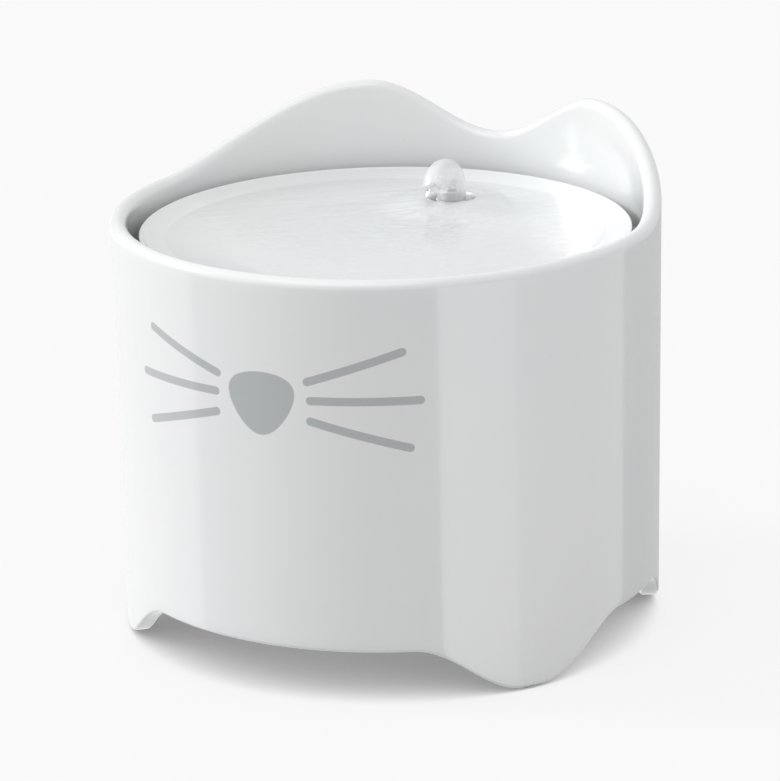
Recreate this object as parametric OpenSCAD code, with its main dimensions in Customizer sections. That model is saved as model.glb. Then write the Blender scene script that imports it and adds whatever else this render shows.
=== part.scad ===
// Cat-shaped ceramic drinking fountain, in millimetres.
// +Z is up, the nose side faces -Y, and the origin is on the floor under the middle of the bowl.
// A round ceramic bowl with two ears stands on four feet. A shallow ceramic tray rests inside it on
// four lugs. A small pump in a filter case pushes water up a riser to a clear spout in the tray.

/* [Bowl] */
// Outer diameter of the bowl at its rim
body_d = 200; // [184:1:230]
// Outer diameter of the bowl at its feet
base_d = 197.6; // [184:0.2:230]
// Thickness of the ceramic wall
bowl_wall = 6.5; // [5.5:0.5:8]
// Height of the low front rim above the floor
rim_h = 154; // [146:1:175]
// Height of the ear tips above the front rim
ear_rise = 26; // [12:1:34]
// Height of the dip between the ears above the front rim
valley_rise = 7.3; // [2:0.1:12]
// Angle from the back of the bowl round to each ear tip
ear_angle = 29.3; // [22:0.1:40]
// Angle over which the outer side of an ear runs down to the rim
ear_slope_angle = 56; // [40:1:70]
// Height of the arches between the feet
arch_h = 18.4; // [12:0.2:24]
// Angle from the nose, and from the back, round to each foot
foot_angle = 56; // [50:1:62]
// Angle on each side of a foot over which the wall rises into the arches
foot_slope_angle = 24; // [18:1:28]
// Angle on each side of a foot that is flat on the floor
foot_flat_angle = 2; // [1.5:0.1:4]
// Thickness of the reservoir floor
floor_t = 6; // [4:0.5:9]
// Height of the underside of the reservoir floor above the arches
floor_above_arch = 1.5; // [0.5:0.1:4]
// Radius of the hollow corner between the reservoir floor and the wall
floor_fillet = 6; // [4:0.5:9]

/* [Silicone pads] */
// Diameter of the clear pad under each foot
foot_pad_d = 5; // [3:0.5:5]
// Thickness of the clear pad under each foot
foot_pad_t = 0.8; // [0.5:0.1:1.5]
// Diameter of the silicone bumper on each tray lug
bumper_d = 8; // [6:0.5:10]
// Thickness of the silicone bumper on each tray lug
bumper_t = 1.5; // [1:0.1:2.5]

/* [Tray] */
// Gap between the tray's edge and the inside of the bowl
tray_gap = 4; // [3:0.5:6]
// Height of the front rim above the tray's edge
tray_drop = 6.5; // [4:0.5:10]
// Depth of the tray's dish below its edge
tray_depth = 5.5; // [4:0.5:7]
// Width of the hollow slope between the tray's edge and its flat floor
tray_slope_w = 30; // [10:0.5:32]
// Thickness of the tray under its flat floor
tray_t = 5; // [4:0.5:7]
// Height of the mound round the spout hole above the tray's flat floor
mound_h = 3; // [2.6:0.1:5]
// Width of the sloping side of the mound
mound_slope_w = 19; // [12:0.5:22]
// Width of the flat top of the mound round the spout hole
mound_land_w = 3; // [2:0.5:5]
// Diameter of the spout hole
hole_d = 17; // [15.5:0.5:20]
// Width of each lug that carries the tray
lug_w = 13; // [11:0.5:16]
// Height of the straight top of each lug
lug_h = 5; // [3:0.5:8]
// How far each lug reaches in under the tray
lug_reach = 13; // [10.5:0.5:16]

/* [Spout and riser] */
// Outer diameter of the riser tube
riser_d = 12; // [11:0.2:14]
// Bore of the riser tube
riser_bore = 8.4; // [7.4:0.2:9]
// Depth of the riser's top edge below the top of the mound
riser_drop = 3.4; // [2.6:0.2:5]
// Length of the spout stem inside the riser
stem_depth = 16; // [10:0.5:22]
// Wall of the spout stem
stem_wall = 1.6; // [1.4:0.1:1.8]
// Thickness of the collar that rests on the riser's top edge
collar_t = 2.2; // [1.5:0.1:3]
// Thickness of the ring that seals the stem in the riser
seal_t = 1; // [0.8:0.1:1.1]
// Outer diameter of the clear spout where it stands on its collar
spout_d = 10.8; // [10.4:0.2:11.4]
// Wall of the clear spout
spout_wall = 1.2; // [1:0.1:1.3]
// Straight height of the spout above its collar
spout_rise = 5.4; // [5.2:0.2:9]
// Bend radius of the spout, along its middle
spout_bend_r = 7.2; // [6.8:0.1:9]
// Angle that the spout turns through, where 90 is level
spout_turn = 118; // [95:1:130]
// Straight length of the lip past the bend
lip_l = 8; // [4:0.5:12]
// Width of the spout's mouth
mouth_w = 10; // [9:0.2:13]
// Height of the spout's mouth
mouth_h = 8.6; // [7:0.2:9]

/* [Pump] */
// Width of the pump
pump_w = 38; // [36:0.5:42]
// Height of the pump
pump_h = 34; // [34:0.5:38]
// Length of the volute cover
volute_l = 11; // [10:0.5:13]
// Wall of the pump's plastic pieces
pump_wall = 2; // [1.6:0.1:2.2]
// Radius of the pump's long edges
pump_edge_r = 4; // [2:0.5:5]
// Diameter of the impeller chamber
chamber_d = 25; // [22:0.5:26]
// Diameter of the intake eye in the volute cover
eye_d = 12; // [11:0.5:14]
// Gap between the vane tips and the chamber
vane_gap = 1.5; // [1:0.1:2]
// Number of impeller vanes
vane_count = 6; // [4:1:8]
// Diameter of the rotor magnet
magnet_d = 13.6; // [12:0.2:14]
// Length of the rotor magnet
magnet_l = 9.5; // [8:0.5:10.5]
// Gap between the rotor magnet and its well
rotor_gap = 0.6; // [0.4:0.1:0.8]
// Diameter of the fixed impeller shaft
shaft_d = 2; // [1.6:0.1:2.4]
// Diameter of the bush at each end of the shaft
bush_d = 4.6; // [4:0.1:5]
// Length of the bush at each end of the shaft
bush_l = 2; // [1.5:0.1:2.5]
// Length of the outlet nozzle inside the riser
nozzle_l = 9; // [7:0.5:12]
// Wall of the outlet nozzle
nozzle_wall = 1; // [0.8:0.1:1.3]
// Outer diameter of the stator ring
stator_d = 28.6; // [27:0.2:29]
// Length of the stator ring
stator_l = 8; // [6:0.5:9]
// Width of each stator pole
pole_w = 4; // [3:0.2:5]
// Thickness of the sealing ring between motor housing and volute cover
volute_seal_t = 1.2; // [1:0.1:1.6]
// Thickness of the circuit board
board_t = 1.6; // [1.2:0.1:2]
// Thickness of the resin that closes the back of the motor housing
resin_t = 3; // [2:0.5:4]
// Height of the cord gland above the pump
gland_h = 6; // [4:0.5:8]
// Diameter of the cord gland
gland_d = 6.4; // [6:0.2:7]
// Diameter of the cord that the gland and the grommet take
cord_d = 3.6; // [3:0.2:4]
// Height of a suction cup
cup_h = 5; // [4:0.5:7]
// Diameter of a suction cup's rim
cup_d = 12; // [10:0.5:13]

/* [Intake] */
// Thickness of the intake grille
grille_t = 3; // [2.5:0.1:4]
// Number of slots in the intake grille
grille_slots = 5; // [3:1:5]
// Height of each slot in the intake grille
grille_slot_h = 2.6; // [2:0.1:3]
// Bar between the slots in the intake grille
grille_bar_h = 2.2; // [1.6:0.1:2.6]
// Thickness of the flow dial
dial_t = 2; // [1.6:0.1:2.6]
// Diameter of the flow dial
dial_d = 26; // [24:0.5:30]
// Diameter of the pin that the flow dial turns on
dial_pin_d = 4; // [3:0.2:5]
// Angle that the flow dial turns through
dial_turn = 60; // [40:5:70]

/* [Filter case] */
// Width of the filter case
case_w = 64; // [58:1:70]
// Wall of the filter case
case_wall = 2; // [1.6:0.1:2.6]
// Radius of the filter case's upright corners
case_edge_r = 14; // [10:0.5:16]
// Gap left round the pump, the foam and the cartridge in the case
case_play = 1.5; // [1:0.1:2.5]
// Thickness of the foam block
foam_t = 9; // [6:0.5:12]
// Thickness of the carbon cartridge
cartridge_t = 9; // [7:0.5:12]
// Width of the cartridge frame's border
cartridge_border = 4; // [3:0.5:6]
// Number of inlet slots in the front of the case
inlet_slots = 9; // [5:1:11]
// Width of each inlet slot
inlet_slot_w = 2.4; // [1.6:0.1:2.8]
// Height of each inlet slot
inlet_slot_h = 28; // [20:1:34]
// Thickness of the lid's plate
lid_t = 2.4; // [2:0.1:3]
// Depth of the lid's skirt inside the case
lid_skirt_h = 4; // [3:0.5:6]
// Height of the lid's handle
handle_h = 9; // [7:0.5:12]

/* [Cord port] */
// Diameter of the cord port in the back wall
port_d = 9; // [8:0.2:11]
// Distance from the port's axis down from the underside of the tray
port_drop = 14; // [12:0.5:24]
// Thickness of the grommet's flanges
flange_t = 1.6; // [1.2:0.1:2]
// How far the grommet's flanges reach past the port
flange_w = 2.6; // [2:0.1:3]

/* [Fits] */
// Radial gap of a stem, nozzle or ring in its tube
slip_fit = 0.1; // [0.05:0.01:0.15]
// Radial gap of a turning piece on its pin
running_fit = 0.05; // [0.03:0.01:0.08]
// Gap under a piece that rests on another and lifts off
seat_gap = 0.2; // [0.1:0.05:0.3]
// Gap between plastic pieces that fit inside each other
push_fit = 0.3; // [0.2:0.05:0.4]

/* [Hidden] */

$fn = 64;
// Steps round the bowl, and round each small corner of its wall
bowl_steps = 96;
// Steps from the nose to where the front ends and where the back begins
front_steps = 14;
back_steps = 40;
corner_steps = 4;
lip_steps = 8;
// A cut runs this far past the face that it opens
cut = 1;

// Glazed ceramic bowl
body_r = body_d / 2;
base_r = base_d / 2;
// Depth of a flat step between two points round the bowl
step_sag = body_r * (1 - cos(180 / bowl_steps));
lip_r = bowl_wall / 2;
foot_edge_r = 1.4;
// Height up to which the wall's taper runs straight all the way round
knee_z = rim_h - lip_r - 1;
floor_z0 = foot_pad_t + arch_h + floor_above_arch;
floor_z = floor_z0 + floor_t;
// Outer radius of the wall at height z
function outer_r(z) = base_r + (body_r - base_r) * min(z, rim_h) / rim_h;
// Smooth step from 0 to 1 as t runs from 0 to 1
function ease(t) = (1 - cos(180 * min(max(t, 0), 1))) / 2;
// Height of the rim at an angle from the nose
function rim_z(a) =
    let(b = 180 - abs(a))
    b < ear_angle
        ? rim_h + valley_rise + (ear_rise - valley_rise) * ease(b / ear_angle)
        : rim_h + ear_rise * (1 - ease((b - ear_angle) / ear_slope_angle));
// Height of the wall's lower edge at an angle from the nose
function foot_z(a) =
    let(b = abs(abs(a) < 90 ? abs(a) - foot_angle : 180 - abs(a) - foot_angle))
    foot_pad_t + arch_h * ease((b - foot_flat_angle) / foot_slope_angle);
// Point at radius r, angle a from the nose, and height z
function polar(r, a, z) = [r * sin(a), -r * cos(a), z];
// Points of an arc in the plane of radius and height
function arc(centre, r, from, to, steps) =
    [for (i = [0 : steps]) let(t = from + (to - from) * i / steps) centre + r * [cos(t), sin(t)]];
foot_angles = [foot_angle, 180 - foot_angle, foot_angle - 180, -foot_angle];

// Tray
bowl_bore_r = outer_r(rim_h - tray_drop) - bowl_wall;
tray_r = bowl_bore_r - tray_gap;
tray_edge_z = rim_h - tray_drop;
tray_floor_z = tray_edge_z - tray_depth;
tray_base_z = tray_floor_z - tray_t;
tray_edge_w = 1.6;
tray_foot_r = tray_r - 1.5;
mound_z = tray_floor_z + mound_h;
mound_top_r = hole_d / 2 + mound_land_w;
mound_steps = 10;
dish_steps = 8;
dish_lip_h = 0.5;
lug_z = tray_base_z - seat_gap - bumper_t;
lug_inner_r = bowl_bore_r - lug_reach;
lug_axis_r = lug_inner_r + lug_w / 2;
lug_angles = [-45, 45, 135, -135];
lug_root_r = max(outer_r(lug_z - lug_h), outer_r(lug_z)) - bowl_wall + 1;

// Rotor and stator, which set the length of the motor housing
magnet_r = magnet_d / 2;
well_r = magnet_r + rotor_gap;
well_wall = 1;
well_l = magnet_l + bush_l + 2 * seat_gap;
motor_l = well_l + well_wall + push_fit + board_t + resin_t;
stator_r = stator_d / 2;
yoke_t = 2.6;
coil_t = 1.4;
pole_bore_r = well_r + well_wall + slip_fit;

// Filter case and pump, set out from the back of the reservoir
floor_flat_r = outer_r(floor_z) - bowl_wall - floor_fillet;
case_back_y = case_edge_r
    + sqrt(pow(floor_flat_r - push_fit - case_edge_r, 2) - pow(case_w / 2 - case_edge_r, 2));
motor_back_y = case_back_y - case_wall - case_play;
motor_y = motor_back_y - motor_l;
volute_y = motor_y - volute_l;
hole_y = motor_y - volute_l / 2;
mound_base_r = min(mound_top_r + mound_slope_w, tray_r - tray_edge_w - hole_y);
grille_y = volute_y - grille_t;
dial_y = grille_y - dial_t - seat_gap;
foam_y = dial_y - case_play - foam_t;
cartridge_y = foam_y - push_fit - cartridge_t;
case_front_y = cartridge_y - case_play - case_wall;
case_l = case_back_y - case_front_y;
case_mid_y = (case_back_y + case_front_y) / 2;
pump_z = floor_z + case_wall + cup_h;
pump_mid_z = pump_z + pump_h / 2;
pump_top_z = pump_z + pump_h;
case_top_z = pump_top_z + nozzle_l + case_play;

// Riser and spout
riser_r = riser_d / 2;
riser_bore_r = riser_bore / 2;
riser_top_z = mound_z - riser_drop;
riser_foot_z = pump_top_z + seat_gap;
stem_r = riser_bore_r - slip_fit;
stem_bore_r = stem_r - stem_wall;
stem_foot_z = riser_top_z - stem_depth;
collar_z = riser_top_z + seat_gap;
spout_z = collar_z + collar_t;
spout_r = spout_d / 2;
socket_l = spout_rise - 2;
seal_z = stem_foot_z + 2 * seal_t;
seal_mid_r = riser_bore_r - slip_fit / 2 - seal_t / 2;
seal_groove_r = seal_mid_r - seal_t / 2 - slip_fit / 2;

// Pump pieces
chamber_r = chamber_d / 2;
chamber_l = volute_l - pump_wall;
eye_r = eye_d / 2;
nozzle_r = riser_bore_r - slip_fit;
nozzle_bore_r = nozzle_r - nozzle_wall;
shaft_r = shaft_d / 2;
spider_t = 1.6;
recess_t = 0.8;
hub_r = shaft_r + 1.5;
vane_t = 1.2;
disc_t = 1.2;
disc_gap = 1;
dial_rim_w = 2;
dial_tab_w = 5;
dial_tab_h = 3;
bush_r = bush_d / 2;
boss_r = bush_r + 1;
boss_l = grille_t - 2 * push_fit - recess_t;
boss_y = volute_y - boss_l;
front_bush_y = boss_y + 2 * push_fit;
rear_bush_y = motor_y + well_l - bush_l;
stator_y = motor_y + pump_wall + coil_t + seat_gap;
board_y = motor_back_y - resin_t - board_t;
gland_x = pump_w / 4;
gland_y = motor_back_y - resin_t - gland_d / 2;
cup_x = pump_w / 2 - cup_d / 2;
cup_ys = [volute_y + volute_l / 2, motor_y + motor_l / 2];
nub_r = 1.6;
nub_h = 1;
vane_r = chamber_r - vane_gap;

// Cord port
port_z = tray_base_z - port_drop;
port_r = port_d / 2;
flange_r = port_r + flange_w;
port_outer_r = outer_r(port_z);

// Colours
ceramic = [0.95, 0.95, 0.94];
clear_plastic = [0.88, 0.9, 0.93, 0.6];
white_plastic = [0.9, 0.91, 0.92];
dark_plastic = [0.16, 0.17, 0.18];
grey_silicone = [0.78, 0.79, 0.8];

// ---- Shared shapes ----

// Rectangle with round corners, from true arcs
module round_rect(w, h, r) {
    square([w - 2 * r, h], center = true);
    square([w, h - 2 * r], center = true);
    for (x = [-1, 1], y = [-1, 1])
        translate([x * (w / 2 - r), y * (h / 2 - r)])
            circle(r);
}

// Runs a shape drawn across the pump along Y, from y to y + l
module along_pump(y, l) {
    translate([0, y + l, pump_mid_z])
        rotate([90, 0, 0])
            linear_extrude(l)
                children();
}

// Round bar on the pump's axis, from y to y + l
module pump_bar(r, y, l) {
    translate([0, y + l, pump_mid_z])
        rotate([90, 0, 0])
            cylinder(h = l, r = r);
}

// Upright tube
module tube(r, bore_r, z, h) {
    translate([0, 0, z])
        difference() {
            cylinder(h = h, r = r);
            translate([0, 0, -cut])
                cylinder(h = h + 2 * cut, r = bore_r);
        }
}

// Closed skin through rings of points: each ring has the same count, and the first and last close on a pole
module skin(rings, low_pole, high_pole) {
    n = len(rings[0]);
    m = len(rings);
    points = concat([low_pole, high_pole], [for (ring = rings) each ring]);
    function at(j, i) = 2 + j * n + i % n;
    sides = [for (j = [0 : m - 2], i = [0 : n - 1])
        each [[at(j, i), at(j + 1, i), at(j + 1, i + 1)], [at(j, i), at(j + 1, i + 1), at(j, i + 1)]]];
    low_fan = [for (i = [0 : n - 1]) [0, at(0, i), at(0, i + 1)]];
    high_fan = [for (i = [0 : n - 1]) [at(m - 1, i), 1, at(m - 1, i + 1)]];
    polyhedron(points, concat(low_fan, sides, high_fan), convexity = 8);
}

// Closed skin through closed outlines with the same count of points, with a flat cap at each end
module swept_skin(outlines) {
    n = len(outlines);
    m = len(outlines[0]);
    function at(i, j) = i * m + j % m;
    sides = [for (i = [0 : n - 2], j = [0 : m - 1])
        each [[at(i, j), at(i, j + 1), at(i + 1, j + 1)], [at(i, j), at(i + 1, j + 1), at(i + 1, j)]]];
    caps = [[for (j = [m - 1 : -1 : 0]) at(0, j)], [for (j = [0 : m - 1]) at(n - 1, j)]];
    polyhedron([for (outline = outlines) each outline], concat(sides, caps), convexity = 8);
}

// ---- Bowl ----

// The bowl is fired in one piece. Its front, sides, back, floor and feet meet face to face.

// Outline of the side at an angle from the nose, from the floor's edge out, up to the rim and down inside
function side_outline(a) =
    let(
        top = rim_z(a),
        lip_z = top - lip_r,
        lip_mid_r = outer_r(top) - lip_r
    )
    concat(
        [[floor_flat_r, floor_z0], [outer_r(floor_z0), floor_z0], [outer_r(knee_z), knee_z]],
        arc([lip_mid_r, lip_z], lip_r, 0, 180, lip_steps),
        [[outer_r(knee_z) - bowl_wall, knee_z]],
        arc([floor_flat_r, floor_z + floor_fillet], floor_fillet, 0, -90, corner_steps)
    );

// Outline of the wall under the floor at an angle from the nose
function feet_outline(a) =
    let(
        foot = foot_z(a),
        skirt_r = outer_r(foot) - bowl_wall,
        edge_z = foot + foot_edge_r
    )
    concat(
        [[skirt_r, floor_z0]],
        arc([skirt_r + foot_edge_r, edge_z], foot_edge_r, 180, 270, 2),
        arc([outer_r(foot) - foot_edge_r, edge_z], foot_edge_r, -90, 0, 2),
        [[outer_r(floor_z0), floor_z0]]
    );

// Angle of a step round the bowl from the nose, from -180 to 180
function step_angle(i) =
    let(a = i * 360 / bowl_steps)
    a > 180 ? a - 360 : a;

// Outline at a step round the bowl, set out in space
function set_out(outline, i) =
    [for (p = outline) polar(p[0], i * 360 / bowl_steps, p[1])];

// Part of the bowl's side from one step round it to another
module side_part(from, to) {
    swept_skin([for (i = [from : to]) set_out(side_outline(step_angle(i)), i)]);
}

// Bar along Y on the cord port's axis, from y outward
module port_bar(r, y, l) {
    translate([0, y + l, port_z])
        rotate([90, 0, 0])
            cylinder(h = l, r = r);
}

// Solid that fills the bowl between two heights, with its surface a gap away from the inside of the wall
module bowl_filling(low_z, high_z, gap) {
    translate([0, 0, low_z])
        cylinder(h = high_z - low_z, r1 = outer_r(low_z) - bowl_wall - gap, r2 = outer_r(high_z) - bowl_wall - gap,
            $fn = bowl_steps);
}

module bowl_front() {
    color(ceramic)
        side_part(-front_steps, front_steps);
}

module bowl_right() {
    color(ceramic)
        side_part(front_steps, back_steps);
}

module bowl_back() {
    color(ceramic)
        difference() {
            side_part(back_steps, bowl_steps - back_steps);
            port_bar(port_r, port_outer_r - 2 * bowl_wall, 3 * bowl_wall);
            port_bar(flange_r + push_fit, port_outer_r - flange_t - 2 * push_fit, bowl_wall);
        }
}

module bowl_left() {
    color(ceramic)
        side_part(bowl_steps - back_steps, bowl_steps - front_steps);
}

module bowl_floor() {
    color(ceramic)
        translate([0, 0, floor_z0])
            rotate([0, 0, -90])
                cylinder(h = floor_t, r = floor_flat_r - step_sag, $fn = bowl_steps);
}

// Foot with half of the arch on each side of it
module bowl_foot(i) {
    quarter = bowl_steps / 4;
    color(ceramic)
        swept_skin([for (k = [i * quarter : (i + 1) * quarter]) set_out(feet_outline(step_angle(k)), k)]);
}

// Lug that carries the tray, with a cone under it so that it can be cast
module tray_lug(i) {
    root_l = lug_root_r - lug_axis_r;
    color(ceramic)
        intersection() {
            translate(polar(lug_axis_r, lug_angles[i], lug_z - lug_h)) {
                cylinder(h = lug_h, r = lug_w / 2);
                translate([0, 0, -lug_w / 2])
                    cylinder(h = lug_w / 2, r1 = 0.5, r2 = lug_w / 2);
                rotate([0, 0, lug_angles[i]])
                    translate([-lug_w / 2, -root_l, 0])
                        cube([lug_w, root_l, lug_h]);
            }
            bowl_filling(lug_z - lug_h - lug_w, lug_z + cut, step_sag);
        }
}

module foot_pad(i) {
    color(grey_silicone)
        translate(polar(outer_r(0) - bowl_wall / 2, foot_angles[i], 0))
            cylinder(h = foot_pad_t, r = foot_pad_d / 2);
}

module tray_bumper(i) {
    color(grey_silicone)
        translate(polar(lug_axis_r, lug_angles[i], lug_z))
            cylinder(h = bumper_t, r = bumper_d / 2);
}

// Grommet with a flange on each side of the wall; the outer one lies in a shallow seat
module cord_grommet() {
    seat_y = port_outer_r - flange_t - push_fit;
    inside_r = port_outer_r - bowl_wall - push_fit;
    color(grey_silicone)
        difference() {
            union() {
                port_bar(flange_r, seat_y, flange_t);
                port_bar(port_r - slip_fit, inside_r - flange_t, seat_y - inside_r + 2 * flange_t);
                intersection() {
                    port_bar(flange_r, inside_r - 2 * flange_t, 3 * flange_t);
                    difference() {
                        bowl_filling(port_z - 2 * flange_r, port_z + 2 * flange_r, push_fit);
                        bowl_filling(port_z - 3 * flange_r, port_z + 3 * flange_r, push_fit + flange_t);
                    }
                }
            }
            port_bar(cord_d / 2, inside_r - 3 * flange_t, bowl_wall + 6 * flange_t);
        }
}

// ---- Tray ----

// The tray is fired in one piece. Its plate, side and mound meet face to face.

// Half section of the plate, from its axis out to the side and back along the flat floor
function plate_section() =
    let(foot_r = 2)
    concat(
        [[0, tray_base_z]],
        arc([tray_foot_r - foot_r, tray_base_z + foot_r], foot_r, -90, -20, 4),
        [[tray_r, tray_floor_z], [0, tray_floor_z]]
    );

// Half section of the side, with the hollow slope that runs down to the flat floor
function side_section() =
    let(
        edge_r = tray_edge_w / 2,
        slope_r = tray_r - tray_edge_w - tray_slope_w
    )
    concat(
        [[slope_r, tray_floor_z], [tray_r, tray_floor_z]],
        arc([tray_r - edge_r, tray_edge_z - edge_r], edge_r, 0, 120, 6),
        [for (i = [dish_steps : -1 : 1])
            let(t = i / dish_steps)
            [slope_r + tray_slope_w * t, tray_floor_z + (tray_depth - dish_lip_h) * pow(t, 1.5)]]
    );

// Half section of the mound, measured from the axis of the spout hole
function mound_section() =
    concat(
        [[0, tray_floor_z]],
        [for (i = [0 : mound_steps])
            let(t = i / mound_steps)
            [mound_base_r - (mound_base_r - mound_top_r) * t, tray_floor_z + mound_h * ease(t)]],
        [[0, mound_z]]
    );

// Spout hole, as the bar that is cut away
module spout_hole() {
    translate([0, hole_y, tray_base_z - cut])
        cylinder(h = mound_z - tray_base_z + 2 * cut, r = hole_d / 2);
}

module tray_plate() {
    color(ceramic)
        difference() {
            rotate_extrude($fn = 96)
                polygon(plate_section());
            spout_hole();
        }
}

module tray_side() {
    color(ceramic)
        difference() {
            rotate_extrude($fn = 96)
                polygon(side_section());
            spout_hole();
        }
}

module tray_mound() {
    color(ceramic)
        difference() {
            translate([0, hole_y, 0])
                rotate_extrude()
                    polygon(mound_section());
            rotate_extrude($fn = 96)
                polygon(side_section());
            spout_hole();
        }
}

// ---- Spout and riser ----

// Middle line of the spout: up, round the bend and out along the lip, as points with their heading
function spout_path() =
    let(bend_z = spout_z + spout_rise, steps = 10)
    concat(
        [[0, spout_z, 0]],
        [for (i = [0 : steps])
            let(t = spout_turn * i / steps)
            [-spout_bend_r * (1 - cos(t)), bend_z + spout_bend_r * sin(t), t]],
        [let(t = spout_turn)
            [-spout_bend_r * (1 - cos(t)) - lip_l * sin(t), bend_z + spout_bend_r * sin(t) + lip_l * cos(t), t]]
    );

// Ring round a point of the path: k is 0 at the collar and 1 at the mouth, inset is the wall
function spout_ring(p, k, inset, sides) =
    let(
        half_w = spout_r + (mouth_w / 2 - spout_r) * ease(k) - inset,
        half_h = spout_r + (mouth_h / 2 - spout_r) * ease(k) - inset
    )
    [for (i = [0 : sides - 1])
        let(t = 360 * i / sides, x = half_w * cos(t), u = half_h * sin(t))
        [x, p[0] + u * cos(p[2]), p[1] + u * sin(p[2])]];

module spout_skin(inset, extra) {
    path = spout_path();
    last = len(path) - 1;
    start = [path[0][0], path[0][1] - extra, 0];
    over = [path[last][0] - extra * sin(spout_turn), path[last][1] + extra * cos(spout_turn), spout_turn];
    line = extra > 0 ? concat([start], path, [over]) : path;
    n = len(line) - 1;
    rings = [for (j = [0 : n]) spout_ring(line[j], j / n, inset, 20)];
    skin(rings, [0, line[0][0], line[0][1]], [0, line[n][0], line[n][1]]);
}

module spout_hood() {
    color(clear_plastic)
        translate([0, hole_y, 0])
            difference() {
                spout_skin(0, 0);
                spout_skin(spout_wall, cut);
                translate([0, 0, spout_z - cut])
                    cylinder(h = socket_l + cut, r = stem_r);
            }
}

module spout_stem() {
    color(white_plastic)
        translate([0, hole_y, 0])
            difference() {
                union() {
                    translate([0, 0, stem_foot_z])
                        cylinder(h = collar_z - stem_foot_z + cut, r = stem_r);
                    translate([0, 0, collar_z])
                        cylinder(h = collar_t, r = riser_r);
                    translate([0, 0, collar_z])
                        cylinder(h = collar_t + socket_l - seat_gap, r = stem_r - slip_fit);
                }
                translate([0, 0, stem_foot_z - cut])
                    cylinder(h = spout_z + socket_l - stem_foot_z + 2 * cut, r = stem_bore_r);
                tube(riser_r, seal_groove_r, seal_z - seal_t / 2 - slip_fit, seal_t + 2 * slip_fit);
            }
}

module stem_seal() {
    color(grey_silicone)
        translate([0, hole_y, seal_z])
            rotate_extrude()
                translate([seal_mid_r, 0])
                    circle(seal_t / 2, $fn = 32);
}

module riser_tube() {
    color(white_plastic)
        translate([0, hole_y, 0])
            tube(riser_r, riser_bore_r, riser_foot_z, riser_top_z - riser_foot_z);
}

// ---- Pump ----

module nub_sockets(y) {
    for (x = [-1, 1])
        translate([x * cup_x, y, pump_z - cut])
            cylinder(h = cut + nub_h + slip_fit, r = nub_r + slip_fit);
}

// Cup-shaped housing, open at the back, with a blind well for the rotor in its front wall
module motor_housing() {
    color(dark_plastic)
        difference() {
            union() {
                difference() {
                    along_pump(motor_y, motor_l)
                        round_rect(pump_w, pump_h, pump_edge_r);
                    along_pump(motor_y + pump_wall, motor_l)
                        round_rect(pump_w - 2 * pump_wall, pump_h - 2 * pump_wall, pump_edge_r - 1);
                }
                pump_bar(well_r + well_wall, motor_y, well_l + well_wall);
            }
            pump_bar(well_r, motor_y - cut, well_l - bush_l + cut);
            pump_bar(bush_r + slip_fit, motor_y, well_l);
            nub_sockets(cup_ys[1]);
            translate([gland_x, gland_y, pump_top_z - 2 * pump_wall])
                cylinder(h = 3 * pump_wall, r = gland_d / 2 - 1 + slip_fit);
            pump_bar(chamber_r + volute_seal_t, motor_y - cut, cut + volute_seal_t / 2);
        }
}

// Front half of the pump: impeller chamber, intake eye with a spider for the shaft, and outlet nozzle
module volute_cover() {
    color(dark_plastic)
        difference() {
            union() {
                difference() {
                    along_pump(volute_y, volute_l)
                        round_rect(pump_w, pump_h, pump_edge_r);
                    pump_bar(chamber_r, volute_y + pump_wall, volute_l);
                    pump_bar(eye_r, volute_y - cut, volute_l);
                }
                intersection() {
                    pump_bar(eye_r + cut, volute_y, pump_wall);
                    union() {
                        along_pump(volute_y, pump_wall)
                            square([2 * eye_r + cut, spider_t], center = true);
                        along_pump(volute_y, pump_wall)
                            square([spider_t, 2 * eye_r + cut], center = true);
                    }
                }
                pump_bar(boss_r, boss_y, volute_y + pump_wall - boss_y);
                translate([0, hole_y, pump_mid_z + chamber_r - pump_wall])
                    cylinder(h = pump_h / 2 - chamber_r + pump_wall + nozzle_l, r = nozzle_r);
            }
            pump_bar(bush_r + slip_fit, front_bush_y, volute_l);
            pump_bar(chamber_r, volute_y + pump_wall + cut, volute_l);
            translate([0, hole_y, pump_mid_z + chamber_r - 2 * pump_wall])
                cylinder(h = pump_h + nozzle_l, r = nozzle_bore_r);
            nub_sockets(cup_ys[0]);
        }
}

// Flat ring in the joint between motor housing and volute cover
module volute_seal() {
    color(grey_silicone)
        difference() {
            pump_bar(chamber_r + volute_seal_t - slip_fit, motor_y, volute_seal_t / 2 - slip_fit);
            pump_bar(chamber_r, motor_y - cut, volute_seal_t + cut);
        }
}

// Slotted cover that clips in front of the eye and carries the dial's pin
module intake_grille() {
    slot_pitch = grille_slot_h + grille_bar_h;
    slot_w = pump_w / 2 - boss_r - pump_edge_r - grille_bar_h;
    color(dark_plastic)
        difference() {
            union() {
                along_pump(grille_y, grille_t - push_fit)
                    round_rect(pump_w, pump_h, pump_edge_r);
                pump_bar(dial_pin_d / 2, dial_y - seat_gap, grille_y - dial_y + 2 * seat_gap);
            }
            for (i = [0 : grille_slots - 1], side = [-1, 1])
                along_pump(grille_y - cut, grille_t + 2 * cut)
                    translate([side * (boss_r + grille_bar_h + slot_w / 2),
                        (i - (grille_slots - 1) / 2) * slot_pitch])
                        square([slot_w, grille_slot_h], center = true);
            pump_bar(boss_r + push_fit, boss_y - push_fit, grille_t);
            pump_bar(eye_r + pump_wall, grille_y + grille_t - push_fit - recess_t, recess_t + cut);
        }
}

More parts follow.
